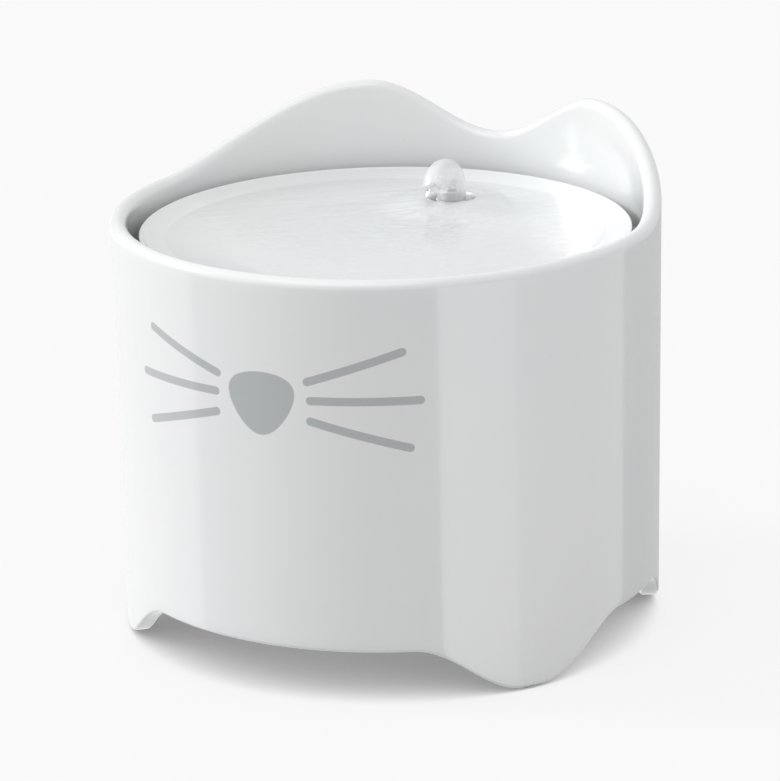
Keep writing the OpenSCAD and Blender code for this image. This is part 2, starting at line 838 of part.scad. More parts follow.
// Disc with two open sectors and a thumb tab, which covers or clears the grille's slots
module flow_dial() {
    color([0.86, 0.87, 0.88])
        difference() {
            union() {
                pump_bar(dial_d / 2, dial_y, dial_t);
                along_pump(dial_y, dial_t)
                    translate([0, dial_d / 2])
                        square([dial_tab_w, 2 * dial_tab_h], center = true);
            }
            pump_bar(dial_pin_d / 2 + running_fit, dial_y - cut, dial_t + 2 * cut);
            for (side = [0, 180])
                along_pump(dial_y - cut, dial_t + 2 * cut)
                    rotate(side)
                        intersection() {
                            difference() {
                                circle(dial_d / 2 - dial_rim_w);
                                circle(dial_pin_d / 2 + dial_rim_w);
                            }
                            polygon([[0, 0], [dial_d, -dial_d * 0.6], [dial_d, dial_d * 0.6]]);
                        }
        }
}

module impeller() {
    hub_y = volute_y + pump_wall + disc_gap;
    disc_y = motor_y - disc_t;
    color([0.93, 0.93, 0.9])
        difference() {
            union() {
                pump_bar(hub_r, hub_y, motor_y + magnet_l - hub_y);
                pump_bar(magnet_r, disc_y, disc_t);
                for (i = [0 : vane_count - 1])
                    along_pump(hub_y, motor_y - push_fit - hub_y)
                        rotate(i * 360 / vane_count)
                            translate([0, -vane_t / 2])
                                square([vane_r, vane_t]);
            }
            pump_bar(shaft_r + running_fit, hub_y - cut, volute_l + motor_l);
        }
}

module rotor_magnet() {
    color([0.2, 0.2, 0.22])
        difference() {
            pump_bar(magnet_r, motor_y + slip_fit, magnet_l - slip_fit);
            pump_bar(hub_r + slip_fit / 2, motor_y - cut, magnet_l + 2 * cut);
        }
}

module impeller_shaft() {
    color([0.92, 0.91, 0.86])
        pump_bar(shaft_r, front_bush_y + slip_fit, rear_bush_y + bush_l - front_bush_y - 2 * slip_fit);
}

module shaft_bush(y) {
    color([0.3, 0.3, 0.3])
        difference() {
            pump_bar(bush_r, y, bush_l);
            pump_bar(shaft_r + slip_fit / 2, y - cut, bush_l + 2 * cut);
        }
}

// Laminated ring with four poles round the rotor's well
module stator_core() {
    color([0.55, 0.56, 0.58])
        along_pump(stator_y, stator_l) {
            difference() {
                circle(stator_r);
                circle(stator_r - yoke_t);
            }
            difference() {
                for (t = [45, 135])
                    rotate(t)
                        square([2 * stator_r - yoke_t, pole_w], center = true);
                circle(pole_bore_r);
            }
        }
}

// One winding round each pole
module stator_coils() {
    coil_in_r = pole_bore_r + push_fit;
    coil_out_r = sqrt(pow(stator_r - yoke_t, 2) - pow(pole_w / 2 + coil_t, 2)) - push_fit;
    coil_l = coil_out_r - coil_in_r;
    color([0.78, 0.45, 0.2])
        for (t = [45 : 90 : 315])
            translate([0, stator_y + stator_l / 2, pump_mid_z])
                rotate([0, t, 0])
                    translate([coil_in_r, 0, 0])
                        difference() {
                            translate([0, -stator_l / 2 - coil_t, -pole_w / 2 - coil_t])
                                cube([coil_l, stator_l + 2 * coil_t, pole_w + 2 * coil_t]);
                            translate([-cut, -stator_l / 2 - slip_fit, -pole_w / 2 - slip_fit])
                                cube([coil_l + 2 * cut, stator_l + 2 * slip_fit, pole_w + 2 * slip_fit]);
                        }
}

module circuit_board() {
    color([0.1, 0.35, 0.2])
        along_pump(board_y, board_t - slip_fit)
            square([pump_w - 2 * pump_wall - 1, pump_h - 2 * pump_wall - 8], center = true);
}

module resin_fill() {
    color([0.08, 0.08, 0.09])
        along_pump(motor_back_y - resin_t, resin_t)
            round_rect(pump_w - 2 * pump_wall - slip_fit, pump_h - 2 * pump_wall - slip_fit, pump_edge_r - 1);
}

// Sleeve that the cord would leave the pump through
module cord_gland() {
    color(grey_silicone)
        translate([gland_x, gland_y, 0])
            difference() {
                union() {
                    translate([0, 0, pump_top_z + slip_fit])
                        cylinder(h = gland_h, r1 = gland_d / 2, r2 = gland_d / 2 - 0.6);
                    translate([0, 0, pump_top_z - pump_wall])
                        cylinder(h = pump_wall + cut, r = gland_d / 2 - 1);
                }
                translate([0, 0, pump_top_z - pump_wall - cut])
                    cylinder(h = pump_wall + gland_h + 3 * cut, r = cord_d / 2);
            }
}

module suction_cup(i) {
    side = i % 2 == 0 ? -1 : 1;
    color(grey_silicone)
        translate([side * cup_x, cup_ys[floor(i / 2)], floor_z + case_wall])
            rotate_extrude($fn = 48)
                polygon([
                    [0, 1.6], [cup_d / 2 - 0.8, 0], [cup_d / 2, 0], [cup_d / 2 - 0.2, 0.9],
                    [2.6, 2.6], [2.6, cup_h], [nub_r, cup_h], [nub_r, cup_h + nub_h], [0, cup_h + nub_h],
                ]);
}

// ---- Filter case ----

// Outline of the case, smaller all round by inset
module case_outline(inset) {
    translate([0, case_mid_y])
        round_rect(case_w - 2 * inset, case_l - 2 * inset, case_edge_r - inset);
}

// Half the inner width of the case at a distance behind its front wall, in the round of its corner
function case_half_w(y) =
    let(r = case_edge_r - case_wall, d = max(r - y, 0))
    case_w / 2 - case_edge_r + sqrt(r * r - d * d);
// Width between the case's front corners, where its wall is flat
case_flat_w = case_w - 2 * case_edge_r;
cartridge_w = 2 * (case_half_w(case_play) - push_fit);
foam_w = 2 * (case_half_w(foam_y - case_front_y - case_wall) - push_fit);
cartridge_z = floor_z + case_wall + push_fit;
lid_z = case_top_z + seat_gap;
skirt_t = 1.4;
carbon_inset = 1;
rail_t = 1.6;
handle_l = 24;
handle_t = 2.2;
handle_gap = 9;

module filter_case() {
    slot_pitch = case_flat_w / inlet_slots;
    rail_h = case_top_z - lid_skirt_h - push_fit - floor_z;
    color([0.84, 0.88, 0.92, 0.75])
        difference() {
            union() {
                difference() {
                    translate([0, 0, floor_z])
                        linear_extrude(case_top_z - floor_z)
                            case_outline(0);
                    translate([0, 0, floor_z + case_wall])
                        linear_extrude(case_top_z)
                            case_outline(case_wall);
                }
                for (side = [-1, 1])
                    translate([side * (cartridge_w / 2 + push_fit + rail_t / 2), cartridge_y + cartridge_t / 2,
                        floor_z + rail_h / 2])
                        cube([rail_t, cartridge_t, rail_h], center = true);
            }
            for (i = [0 : inlet_slots - 1])
                translate([(i - (inlet_slots - 1) / 2) * slot_pitch - inlet_slot_w / 2, case_front_y - cut,
                    floor_z + 3 * case_wall])
                    cube([inlet_slot_w, case_wall + 2 * cut, inlet_slot_h]);
            translate([0, case_back_y - case_wall - cut, case_top_z - cord_d])
                cube([2 * cord_d, 2 * case_wall + 2 * cut, 2 * cord_d]);
        }
}

module filter_lid() {
    skirt = case_wall + push_fit;
    color(white_plastic)
        difference() {
            union() {
                translate([0, 0, lid_z])
                    linear_extrude(lid_t)
                        case_outline(0);
                translate([0, 0, lid_z - lid_skirt_h])
                    linear_extrude(lid_skirt_h + cut)
                        difference() {
                            case_outline(skirt);
                            case_outline(skirt + skirt_t);
                        }
                translate([-handle_l / 2, cartridge_y + cartridge_t / 2, lid_z + lid_t])
                    rotate([90, 0, 90])
                        linear_extrude(handle_l)
                            difference() {
                                translate([-handle_gap / 2 - handle_t, -cut])
                                    square([handle_gap + 2 * handle_t, handle_h + cut]);
                                translate([-handle_gap / 2, 0])
                                    square([handle_gap, handle_h - handle_t]);
                            }
            }
            translate([-cartridge_w / 2 - push_fit, cartridge_y - push_fit, lid_z - lid_skirt_h - cut])
                cube([cartridge_w + 2 * push_fit, cartridge_t + 2 * push_fit, lid_skirt_h + cut]);
            translate([0, hole_y, lid_z - cut])
                cylinder(h = lid_t + 2 * cut, r = riser_r + push_fit);
            translate([0, case_back_y - 4 * case_wall, lid_z - lid_skirt_h - cut])
                cube([2 * cord_d, 5 * case_wall, lid_skirt_h + lid_t + 2 * cut]);
        }
}

// Frame of the cartridge that hangs under the lid
module cartridge_frame() {
    h = lid_z - cartridge_z;
    color([0.82, 0.84, 0.86])
        translate([0, cartridge_y, cartridge_z])
            difference() {
                translate([-cartridge_w / 2, 0, 0])
                    cube([cartridge_w, cartridge_t, h]);
                translate([-cartridge_w / 2 + cartridge_border, -cut, cartridge_border])
                    cube([cartridge_w - 2 * cartridge_border, cartridge_t + 2 * cut, h - 3 * cartridge_border]);
            }
}

module carbon_filter() {
    border = cartridge_border + slip_fit;
    h = lid_z - cartridge_z;
    color([0.12, 0.12, 0.13])
        translate([-cartridge_w / 2 + border, cartridge_y + carbon_inset, cartridge_z + border])
            cube([cartridge_w - 2 * border, cartridge_t - 2 * carbon_inset,
                h - 3 * cartridge_border - 2 * slip_fit]);
}

module foam_block() {
    color([0.25, 0.27, 0.3])
        translate([-foam_w / 2, foam_y, floor_z + case_wall])
            cube([foam_w, foam_t, pump_h + cup_h]);
}

// ---- Assembly ----

bowl_front();
bowl_right();
bowl_back();
bowl_left();
bowl_floor();
for (i = [0 : 3])
    bowl_foot(i);
for (i = [0 : 3])
    tray_lug(i);
tray_plate();
tray_side();
tray_mound();
for (i = [0 : 3])
    foot_pad(i);
for (i = [0 : 3])
    tray_bumper(i);
cord_grommet();
spout_hood();
spout_stem();
stem_seal();
riser_tube();
motor_housing();
volute_cover();
volute_seal();
intake_grille();
flow_dial();
impeller();
rotor_magnet();
impeller_shaft();
shaft_bush(front_bush_y);  // front_bush
shaft_bush(rear_bush_y);  // rear_bush
stator_core();
stator_coils();
circuit_board();
resin_fill();
cord_gland();
for (i = [0 : 3])
    suction_cup(i);
filter_case();
filter_lid();
cartridge_frame();
carbon_filter();
foam_block();
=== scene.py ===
import logging
from dataclasses import dataclass, field
from enum import Enum
from math import cos, e, exp, hypot, pi, radians, sin
from typing import Callable, Protocol, Sequence

import bmesh
import bpy
from bpy.types import ID, Material, NodeSocket, NodeTree, Object
from mathutils import Matrix, Vector


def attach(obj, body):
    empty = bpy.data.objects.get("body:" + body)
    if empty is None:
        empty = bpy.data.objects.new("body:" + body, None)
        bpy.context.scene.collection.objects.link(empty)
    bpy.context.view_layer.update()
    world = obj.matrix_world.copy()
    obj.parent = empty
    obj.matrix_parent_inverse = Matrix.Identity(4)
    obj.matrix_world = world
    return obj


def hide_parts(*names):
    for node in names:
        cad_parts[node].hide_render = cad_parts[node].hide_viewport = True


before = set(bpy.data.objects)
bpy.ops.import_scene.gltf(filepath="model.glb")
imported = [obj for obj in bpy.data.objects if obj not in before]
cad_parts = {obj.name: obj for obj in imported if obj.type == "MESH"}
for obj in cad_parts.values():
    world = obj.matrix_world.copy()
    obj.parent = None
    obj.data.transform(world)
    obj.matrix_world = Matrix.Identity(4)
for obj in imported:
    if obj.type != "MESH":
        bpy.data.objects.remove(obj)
log = logging.getLogger("fountain")

MM = 0.001
WHITE = (1.0, 1.0, 1.0, 1.0)
Flat = tuple[float, float]
Point = tuple[float, float, float]
Row = tuple[float, float, float, float]
Colour = Point


# ---- Node graphs ----


def node_method(operation: str, flipped: bool = False) -> Callable[..., "Wire"]:
    """Makes a method of Wire that stands for one operation of the Math node.

    Args:
        operation: Blender's name of the operation.
        flipped: True where the wire is the second operand.

    Returns:
        The method. It takes the other operand, where the operation has two.
    """
    def method(wire: "Wire", *other: "Value") -> "Wire":
        """Adds the Math node and returns its result."""
        return wire.graph.math(operation, *((*other, wire) if flipped else (wire, *other)))
    return method


class Wire:
    """A number or vector that leaves a node, with Python's arithmetic."""

    __add__, __radd__ = node_method("ADD"), node_method("ADD", True)
    __sub__, __rsub__ = node_method("SUBTRACT"), node_method("SUBTRACT", True)
    __mul__, __rmul__ = node_method("MULTIPLY"), node_method("MULTIPLY", True)
    __truediv__, __rtruediv__ = node_method("DIVIDE"), node_method("DIVIDE", True)
    __pow__, __rpow__ = node_method("POWER"), node_method("POWER", True)
    __lt__, __gt__ = node_method("LESS_THAN"), node_method("GREATER_THAN")
    least, most = node_method("MINIMUM"), node_method("MAXIMUM")
    size, root = node_method("ABSOLUTE"), node_method("SQRT")
    sine, cosine = node_method("SINE"), node_method("COSINE")

    def __init__(self, graph: "Graph", socket: NodeSocket) -> None:
        """Holds the graph and the socket that the value leaves from."""
        self.graph = graph
        self.socket = socket

    def __neg__(self) -> "Wire":
        """Negative of the value."""
        return self * -1.0

    def held(self, low: float = 0.0, high: float = 1.0) -> "Wire":
        """Value kept between low and high."""
        return self.most(low).least(high)

    def ramp(self, start: float, end: float) -> "Wire":
        """Smooth step from 0 at start to 1 at end, which may be below start."""
        t = ((self - start) * (1.0 / (end - start))).held()
        return t * t * (3.0 - 2.0 * t)


Value = Wire | float


class Graph:
    """A node tree, with one method for maths and one for any other node."""

    def __init__(self, tree: NodeTree) -> None:
        """Holds the tree that nodes are added to."""
        self.tree = tree

    def feed(self, socket: NodeSocket, value: object) -> None:
        """Links a wire to a socket, or sets its value.

        Args:
            socket: Input of a node.
            value: A Wire, a socket, or a plain value.
        """
        if isinstance(value, Wire):
            self.tree.links.new(value.socket, socket)
        elif isinstance(value, NodeSocket):
            self.tree.links.new(value, socket)
        else:
            socket.default_value = value

    def add(self, kind: str, settings: dict | None = None, values: dict | None = None,
            out: int | str = 0) -> Wire:
        """Adds a node.

        Args:
            kind: Blender's type name of the node.
            settings: Its properties, which are set first.
            values: Its inputs by name or number, as wires or plain values.
            out: Name or number of the output that is used.

        Returns:
            The chosen output. Its node is wire.socket.node.
        """
        node = self.tree.nodes.new(kind)
        for name, value in (settings or {}).items():
            setattr(node, name, value)
        for name, value in (values or {}).items():
            self.feed(node.inputs[name], value)
        return Wire(self, node.outputs[out])

    def math(self, operation: str, a: Value, b: Value | None = None) -> Wire:
        """Adds a Math node for an operation with one or two values."""
        return self.add("ShaderNodeMath", {"operation": operation}, {0: a} if b is None else {0: a, 1: b})

    def split(self, place: Wire) -> list[Wire]:
        """A place in metres as its X, Y and Z in millimetres."""
        node = self.add("ShaderNodeSeparateXYZ", values={0: place}).socket.node
        return [Wire(self, node.outputs[i]) * 1000.0 for i in range(3)]

    def mix(self, factor: Value, a: object, b: object) -> Wire:
        """Blends two colours.

        Args:
            factor: 0 for a and 1 for b.
            a: Colour or wire.
            b: Colour or wire.

        Returns:
            The blended colour.
        """
        node = self.tree.nodes.new("ShaderNodeMix")
        node.data_type = "RGBA"
        self.feed(node.inputs[0], factor)
        for slot, value in ((6, a), (7, b)):
            self.feed(node.inputs[slot], (*value, 1.0) if isinstance(value, tuple) else value)
        return Wire(self, node.outputs[2])


class Paint(Graph):
    """The node tree of one material."""

    def __init__(self, name: str) -> None:
        """Makes the material with an empty tree.

        Args:
            name: Name of the material.
        """
        self.material = bpy.data.materials.new(name)
        self.material.use_nodes = True
        super().__init__(self.material.node_tree)
        self.tree.nodes.clear()
        place = self.tree.nodes.new("ShaderNodeTexCoord")
        self.place = Wire(self, place.outputs["Object"])
        self._axes: list[Wire] = []

    def axes(self) -> list[Wire]:
        """Place on the piece along X, Y and Z, in millimetres.

        Returns:
            The three parts.
        """
        if not self._axes:
            self._axes = self.split(self.place)
        return self._axes

    def noise(self, grain: float, detail: float = 3.0, place: Wire | None = None) -> Wire:
        """Cloudy noise round 0.5, with its largest spots of a size in millimetres."""
        return self.add("ShaderNodeTexNoise", values={
            "Vector": place or self.place, "Scale": 1000.0 / grain, "Detail": detail})

    def cells(self, grain: float, feature: str = "F1", randomness: float = 1.0) -> Wire:
        """Distance to the nearest point of a scatter, with a spacing in millimetres, in parts of it."""
        return self.add("ShaderNodeTexVoronoi", {"feature": feature},
                        {"Vector": self.place, "Scale": 1000.0 / grain, "Randomness": randomness})

    def stretched(self, x: float, y: float, z: float) -> Wire:
        """Coordinates stretched along each axis, for brushed or layered patterns."""
        return self.add("ShaderNodeMapping", values={"Vector": self.place, "Scale": (x, y, z)})

    def bump(self, height: Wire, depth: float, under: Wire | None = None) -> Wire:
        """Surface relief.

        Args:
            height: Relief between 0 and 1.
            depth: Height of the relief in millimetres.
            under: Another relief that this one lies on.

        Returns:
            The normal.
        """
        values = {"Height": height, "Distance": depth * MM, "Strength": 1.0}
        if under is not None:
            values["Normal"] = under
        return self.add("ShaderNodeBump", values=values)

    def surface(self, **values: object) -> Wire:
        """Adds the main shader.

        Args:
            values: Its inputs by name, with _ in place of a blank.

        Returns:
            The shader.
        """
        return self.add("ShaderNodeBsdfPrincipled", values={
            name.replace("_", " "): (*value, 1.0) if isinstance(value, tuple) else value
            for name, value in values.items()})

    def blend(self, factor: Value, a: Wire, b: Wire) -> Wire:
        """Mixes two shaders, a at factor 0 and b at factor 1."""
        return self.add("ShaderNodeMixShader", values={0: factor, 1: a, 2: b})

    def glow(self, level: Value) -> Wire:
        """White emission."""
        return self.add("ShaderNodeEmission", values={"Color": WHITE, "Strength": level})

    def done(self, shader: Wire) -> Material:
        """Sends a shader to the material's surface.

        Args:
            shader: The whole shader.

        Returns:
            The material.
        """
        out = self.tree.nodes.new("ShaderNodeOutputMaterial")
        self.tree.links.new(shader.socket, out.inputs["Surface"])
        return self.material


# ---- Finishes ----


@dataclass(frozen=True)
class Mark:
    """One printed whisker, from its inner end to its outer end, on the unrolled wall in millimetres."""

    inner: Flat
    outer: Flat


@dataclass(frozen=True)
class CatMarks:
    """Grey nose and six whiskers, printed alike on both sides of the nose."""

    ink: Colour = (0.473, 0.497, 0.501)
    stroke: float = 3.0
    wall_r: float = 99.6
    centre: float = -0.44
    tilt: float = 0.0125
    whiskers: tuple[Mark, ...] = (
        Mark((17.45, 117.55), (50.6, 128.3)), Mark((18.4, 110.8), (56.7, 110.85)), Mark((18.3, 103.4), (52.9, 93.85)))
    side_arc: Point = (73.0, 160.0, 100.6)
    top_arc: Flat = (59.6, 61.1)
    corner: float = 6.0

    def mask(self, paint: Paint) -> Wire:
        """Works out where the ink lies.

        Args:
            paint: The glaze's node tree.

        Returns:
            1 on the ink and 0 off it.
        """
        x, y, high = paint.axes()
        across = paint.math("ARCTAN2", x, -y) * self.wall_r - self.centre
        z = high - across * self.tilt
        gap = self._nose(paint, across, z)
        for mark in self.whiskers:
            gap = gap.least(self._whisker(across.size(), z, mark))
        outside = (x * x + y * y).root().ramp(96.2, 96.6)
        return gap.ramp(0.16, -0.16) * outside * (y < 0.0)

    def _whisker(self, u: Wire, z: Wire, mark: Mark) -> Wire:
        """Distance from a whisker's edge, below 0 inside its stroke.

        Args:
            u: Place across the wall, the same on both sides of the nose.
            z: Height on the wall.
            mark: The whisker.

        Returns:
            The distance in millimetres.
        """
        du, dz = mark.outer[0] - mark.inner[0], mark.outer[1] - mark.inner[1]
        pu, pz = u - mark.inner[0], z - mark.inner[1]
        t = ((pu * du + pz * dz) * (1.0 / (du * du + dz * dz))).held()
        eu, ez = pu - t * du, pz - t * dz
        return (eu * eu + ez * ez).root() - self.stroke / 2

    def _nose(self, paint: Paint, u: Wire, z: Wire) -> Wire:
        """Distance from the edge of the nose, whose three bowed sides run softly into each other.

        Args:
            paint: The glaze's node tree.
            u: Place across the wall.
            z: Height on the wall.

        Returns:
            The distance in millimetres, below 0 inside.
        """
        away, side_z, side_r = self.side_arc
        top_z, top_r = self.top_arc
        rows = ((u + away, z - side_z, side_r), (u - away, z - side_z, side_r), (u, z - top_z, top_r))
        parts = [paint.math("EXPONENT", ((a * a + b * b).root() - r) * (1.0 / self.corner)) for a, b, r in rows]
        return paint.math("LOGARITHM", parts[0] + parts[1] + parts[2], e) * self.corner


@dataclass(frozen=True)
class Glaze:
    """Glossy white glaze, bare on the very edge of the feet."""

    name: str
    tint: Colour = (0.842, 0.858, 0.864)
    warm: Colour = (0.852, 0.86, 0.856)
    bare_top: float = 0.0
    marks: CatMarks | None = None

    def material(self) -> Material:
        """Builds the glaze's material.

        Returns:
            The material.
        """
        paint = Paint(self.name)
        drift = paint.noise(95.0, 2.0).ramp(0.38, 0.62)
        colour = paint.mix(drift, self.tint, self.warm)
        specks = paint.cells(7.5).ramp(0.045, 0.02) * paint.noise(22.0).ramp(0.56, 0.6)
        colour = paint.mix(specks * 0.35, colour, (0.62, 0.6, 0.57))
        rough = 0.13 + paint.noise(34.0, 2.0) * 0.07
        wave = paint.bump(paint.noise(26.0, 1.0), 0.06)
        skin = paint.bump(paint.noise(2.6, 2.0), 0.004, wave)
        if self.marks:
            ink = self.marks.mask(paint)
            mottle = paint.noise(1.2, 2.0) * 0.06
            colour = paint.mix(ink * (0.97 - mottle), colour, self.marks.ink)
            rough = rough + ink * 0.05
        if self.bare_top:
            z = paint.axes()[2]
            bare = (z + paint.noise(3.0, 2.0) * 0.5).ramp(self.bare_top + 0.4, self.bare_top)
            clay = paint.mix(paint.noise(0.9, 3.0), (0.72, 0.69, 0.63), (0.82, 0.8, 0.75))
            colour = paint.mix(bare, colour, clay)
            rough = rough + bare * 0.6
        return paint.done(paint.surface(
            Base_Color=colour, Roughness=rough, Normal=skin, IOR=1.5, Coat_Weight=0.6, Coat_Roughness=0.06))


@dataclass(frozen=True)
class ClearPlastic:
    """Clear moulded plastic with faint flow lines."""

    name: str
    tint: Colour = (0.95, 0.954, 0.975)
    haze: float = 0.17

    def material(self) -> Material:
        """Builds the plastic's material.

        Returns:
            The material.
        """
        paint = Paint(self.name)
        flow = paint.noise(6.0, 2.0, paint.stretched(1.0, 1.0, 0.3))
        colour = paint.mix(flow, self.tint, tuple(min(1.0, c + 0.04) for c in self.tint))
        rough = 0.1 + paint.noise(3.0) * 0.1
        skin = paint.bump(flow, 0.05)
        # Painted highlight: the plastic turns more opaque at grazing angles, standing in for the brighter outline
        # that reflection gives.
        edge = paint.add("ShaderNodeLayerWeight", values={"Blend": 0.4}, out="Facing")
        return paint.done(paint.surface(
            Base_Color=colour, Roughness=rough, Normal=skin, IOR=1.49,
            Alpha=(self.haze + edge * 0.4 + paint.noise(9.0) * 0.1).held(), Coat_Weight=0.5))


@dataclass(frozen=True)
class MouldedPlastic:
    """Spark-textured moulded plastic with light scuffs."""

    name: str
    tint: Colour
    rough: float = 0.42
    alpha: float = 1.0

    def material(self) -> Material:
        """Builds the plastic's material.

        Returns:
            The material.
        """
        paint = Paint(self.name)
        cloud = paint.noise(18.0, 3.0)
        darker = tuple(c * 0.88 for c in self.tint)
        colour = paint.mix(cloud, darker, self.tint)
        scuff = paint.noise(2.5, 4.0, paint.stretched(1.0, 0.2, 1.0)).ramp(0.62, 0.72)
        colour = paint.mix(scuff * 0.18, colour, tuple(min(1.0, c + 0.25) for c in self.tint))
        grain = paint.noise(0.5, 2.0)
        rough = self.rough + cloud * 0.12 + scuff * 0.15
        values = {"Alpha": self.alpha + cloud * 0.08} if self.alpha < 1.0 else {}
        return paint.done(paint.surface(
            Base_Color=colour, Roughness=rough, Normal=paint.bump(grain, 0.02), **values))


@dataclass(frozen=True)
class Silicone:
    """Soft silicone with a fine matt skin and a little dust."""

    name: str
    tint: Colour

    def material(self) -> Material:
        """Builds the silicone's material.

        Returns:
            The material.
        """
        paint = Paint(self.name)
        dust = paint.noise(4.0, 4.0).ramp(0.5, 0.75)
        colour = paint.mix(dust * 0.3, self.tint, tuple(c * 0.8 + 0.12 for c in self.tint))
        rough = 0.55 + paint.noise(1.5) * 0.2
        return paint.done(paint.surface(
            Base_Color=colour, Roughness=rough, Normal=paint.bump(paint.noise(0.35, 2.0), 0.012)))


class Metal(Enum):
    """Metals inside the pump, as colour and layer pitch in millimetres."""

    LAMINATED_STEEL = ((0.45, 0.46, 0.48), 0.5)
    COPPER_WIRE = ((0.72, 0.33, 0.14), 0.35)
    FERRITE = ((0.07, 0.07, 0.075), 0.0)


@dataclass(frozen=True)
class LayeredMetal:
    """Metal that shows its sheets, its turns of wire or its sintered grain."""

    name: str
    metal: Metal

    def material(self) -> Material:
        """Builds the metal's material.

        Returns:
            The material.
        """
        paint = Paint(self.name)
        tint, pitch = self.metal.value
        grain = paint.noise(0.6, 3.0)
        if pitch:
            y = paint.axes()[1]
            layers = ((y * (2 * pi / pitch)).sine() + 1.0) * 0.5
        else:
            layers = grain
        colour = paint.mix(layers * 0.6 + grain * 0.3, tuple(c * 0.55 for c in tint), tint)
        metallic = 1.0 if pitch else 0.3
        return paint.done(paint.surface(
            Base_Color=colour, Metallic=metallic, Roughness=0.35 + grain * 0.3,
            Normal=paint.bump(layers, 0.05)))


@dataclass(frozen=True)
class CircuitBoard:
    """Green solder mask with copper tracks and pale pads."""

    name: str

    def material(self) -> Material:
        """Builds the board's material.

        Returns:
            The material.
        """
        paint = Paint(self.name)
        x, _, z = paint.axes()
        track = paint.cells(3.2, "DISTANCE_TO_EDGE", 0.35).ramp(0.09, 0.05)
        pads = ((x * 1.6).sine() * (z * 1.6).sine()).ramp(0.86, 0.92)
        colour = paint.mix(track, (0.01, 0.12, 0.05), (0.03, 0.24, 0.1))
        colour = paint.mix(pads, colour, (0.7, 0.68, 0.6))
        return paint.done(paint.surface(
            Base_Color=colour, Roughness=0.28 + track * 0.12, Normal=paint.bump(track + pads, 0.05)))


class Porous(Enum):
    """Filter fills, as two colours, grain in millimetres and relief in millimetres."""

    CARBON = ((0.012, 0.012, 0.013), (0.07, 0.07, 0.075), 1.4, 0.5)
    FOAM = ((0.02, 0.022, 0.026), (0.16, 0.17, 0.19), 0.9, 0.4)


@dataclass(frozen=True)
class FilterFill:
    """Loose granules or open-cell foam."""

    name: str
    fill: Porous

    def material(self) -> Material:
        """Builds the fill's material.

        Returns:
            The material.
        """
        paint = Paint(self.name)
        dark, light, grain, relief = self.fill.value
        cell = paint.cells(grain).held()
        # Painted shade: each carbon granule is lighter in its middle and darker towards the gaps between granules,
        # and each foam pore is darker in its hollow than on its walls.
        edge = cell.ramp(0.15, 0.75)
        colour = paint.mix(edge, dark, light) if self.fill is Porous.FOAM else paint.mix(edge, light, dark)
        return paint.done(paint.surface(
            Base_Color=colour, Roughness=0.75 + cell * 0.2, Normal=paint.bump(cell, relief)))


@dataclass(frozen=True)
class ClearWater:
    """Clear water: it mirrors by its slope. Rings of painted shade round where the stream lands darken what lies
    under it a little, and a painted dark rim shows at grazing angles.
    """

    name: str
    # shade: strength of the painted ring shade; rim: strength of the painted dark rim at grazing angles.
    shade: float = 0.05
    rim: float = 0.0
    rings_y: float = 18.0
    ring_pitch: float = 5.6
    ring_fade: float = 0.0016
    ring_stray: float = 22.0

    def material(self) -> Material:
        """Builds the water's material.

        Returns:
            The material.
        """
        paint = Paint(self.name)
        x, y, _ = paint.axes()
        front = 1.0 - paint.add("ShaderNodeNewGeometry", out="Backfacing")
        skin = paint.bump(paint.noise(5.0, 2.0), 0.25)
        mirror = paint.add("ShaderNodeFresnel", values={"IOR": 1.33, "Normal": skin}) * front
        # Painted shade: rings of darker see-through colour round where the stream lands stand in for the light that
        # the ripples gather and scatter on the tray.
        along = y - self.rings_y
        away = (x * x + along * along).root() + paint.noise(12.0, 3.0) * self.ring_stray
        rings = ((away * (2 * pi / self.ring_pitch)).sine() * 0.5 + 0.5) ** 3.0
        fade = 1.0 / (1.0 + away * away * self.ring_fade)
        # Painted shade: a darker see-through rim at grazing angles stands in for what the water would refract there.
        edge = paint.add("ShaderNodeLayerWeight", values={"Blend": 0.5}, out="Facing").ramp(0.35, 0.95)
        painted_shade = (rings * fade * self.shade * 2.0 + edge * self.rim).held() * front
        # The grey see-through shader carries the painted shade.
        clear, painted_dark = (paint.add("ShaderNodeBsdfTransparent", values={"Color": tint})
                         for tint in (WHITE, (0.5, 0.52, 0.55, 1.0)))
        gloss = paint.surface(Base_Color=(0.97, 0.98, 1.0), Roughness=0.03, Metallic=1.0, Normal=skin)
        return paint.done(paint.blend(mirror, paint.blend(painted_shade, clear, painted_dark), gloss))


# ---- Mesh making ----


def ease(t: float) -> float:
    """Smooth step from 0 to 1 as t runs from 0 to 1."""
    return (1 - cos(pi * min(max(t, 0.0), 1.0))) / 2


def turns(steps: int) -> list[float]:
    """Angles of a full turn in radians, one for each step."""
    return [2 * pi * i / steps for i in range(steps)]


def circle(r: float, steps: int, mid_y: float = 0.0) -> list[Flat]:
    """Places round a circle whose middle lies on the Y axis."""
    return [(r * cos(a), mid_y + r * sin(a)) for a in turns(steps)]


def arc(centre: Flat, r: float, start: float, end: float, steps: int) -> list[Flat]:
    """Points of an arc in a plane from start to end in degrees, both ends included."""
    angles = [radians(start + (end - start) * i / steps) for i in range(steps + 1)]
    return [(centre[0] + r * cos(a), centre[1] + r * sin(a)) for a in angles]


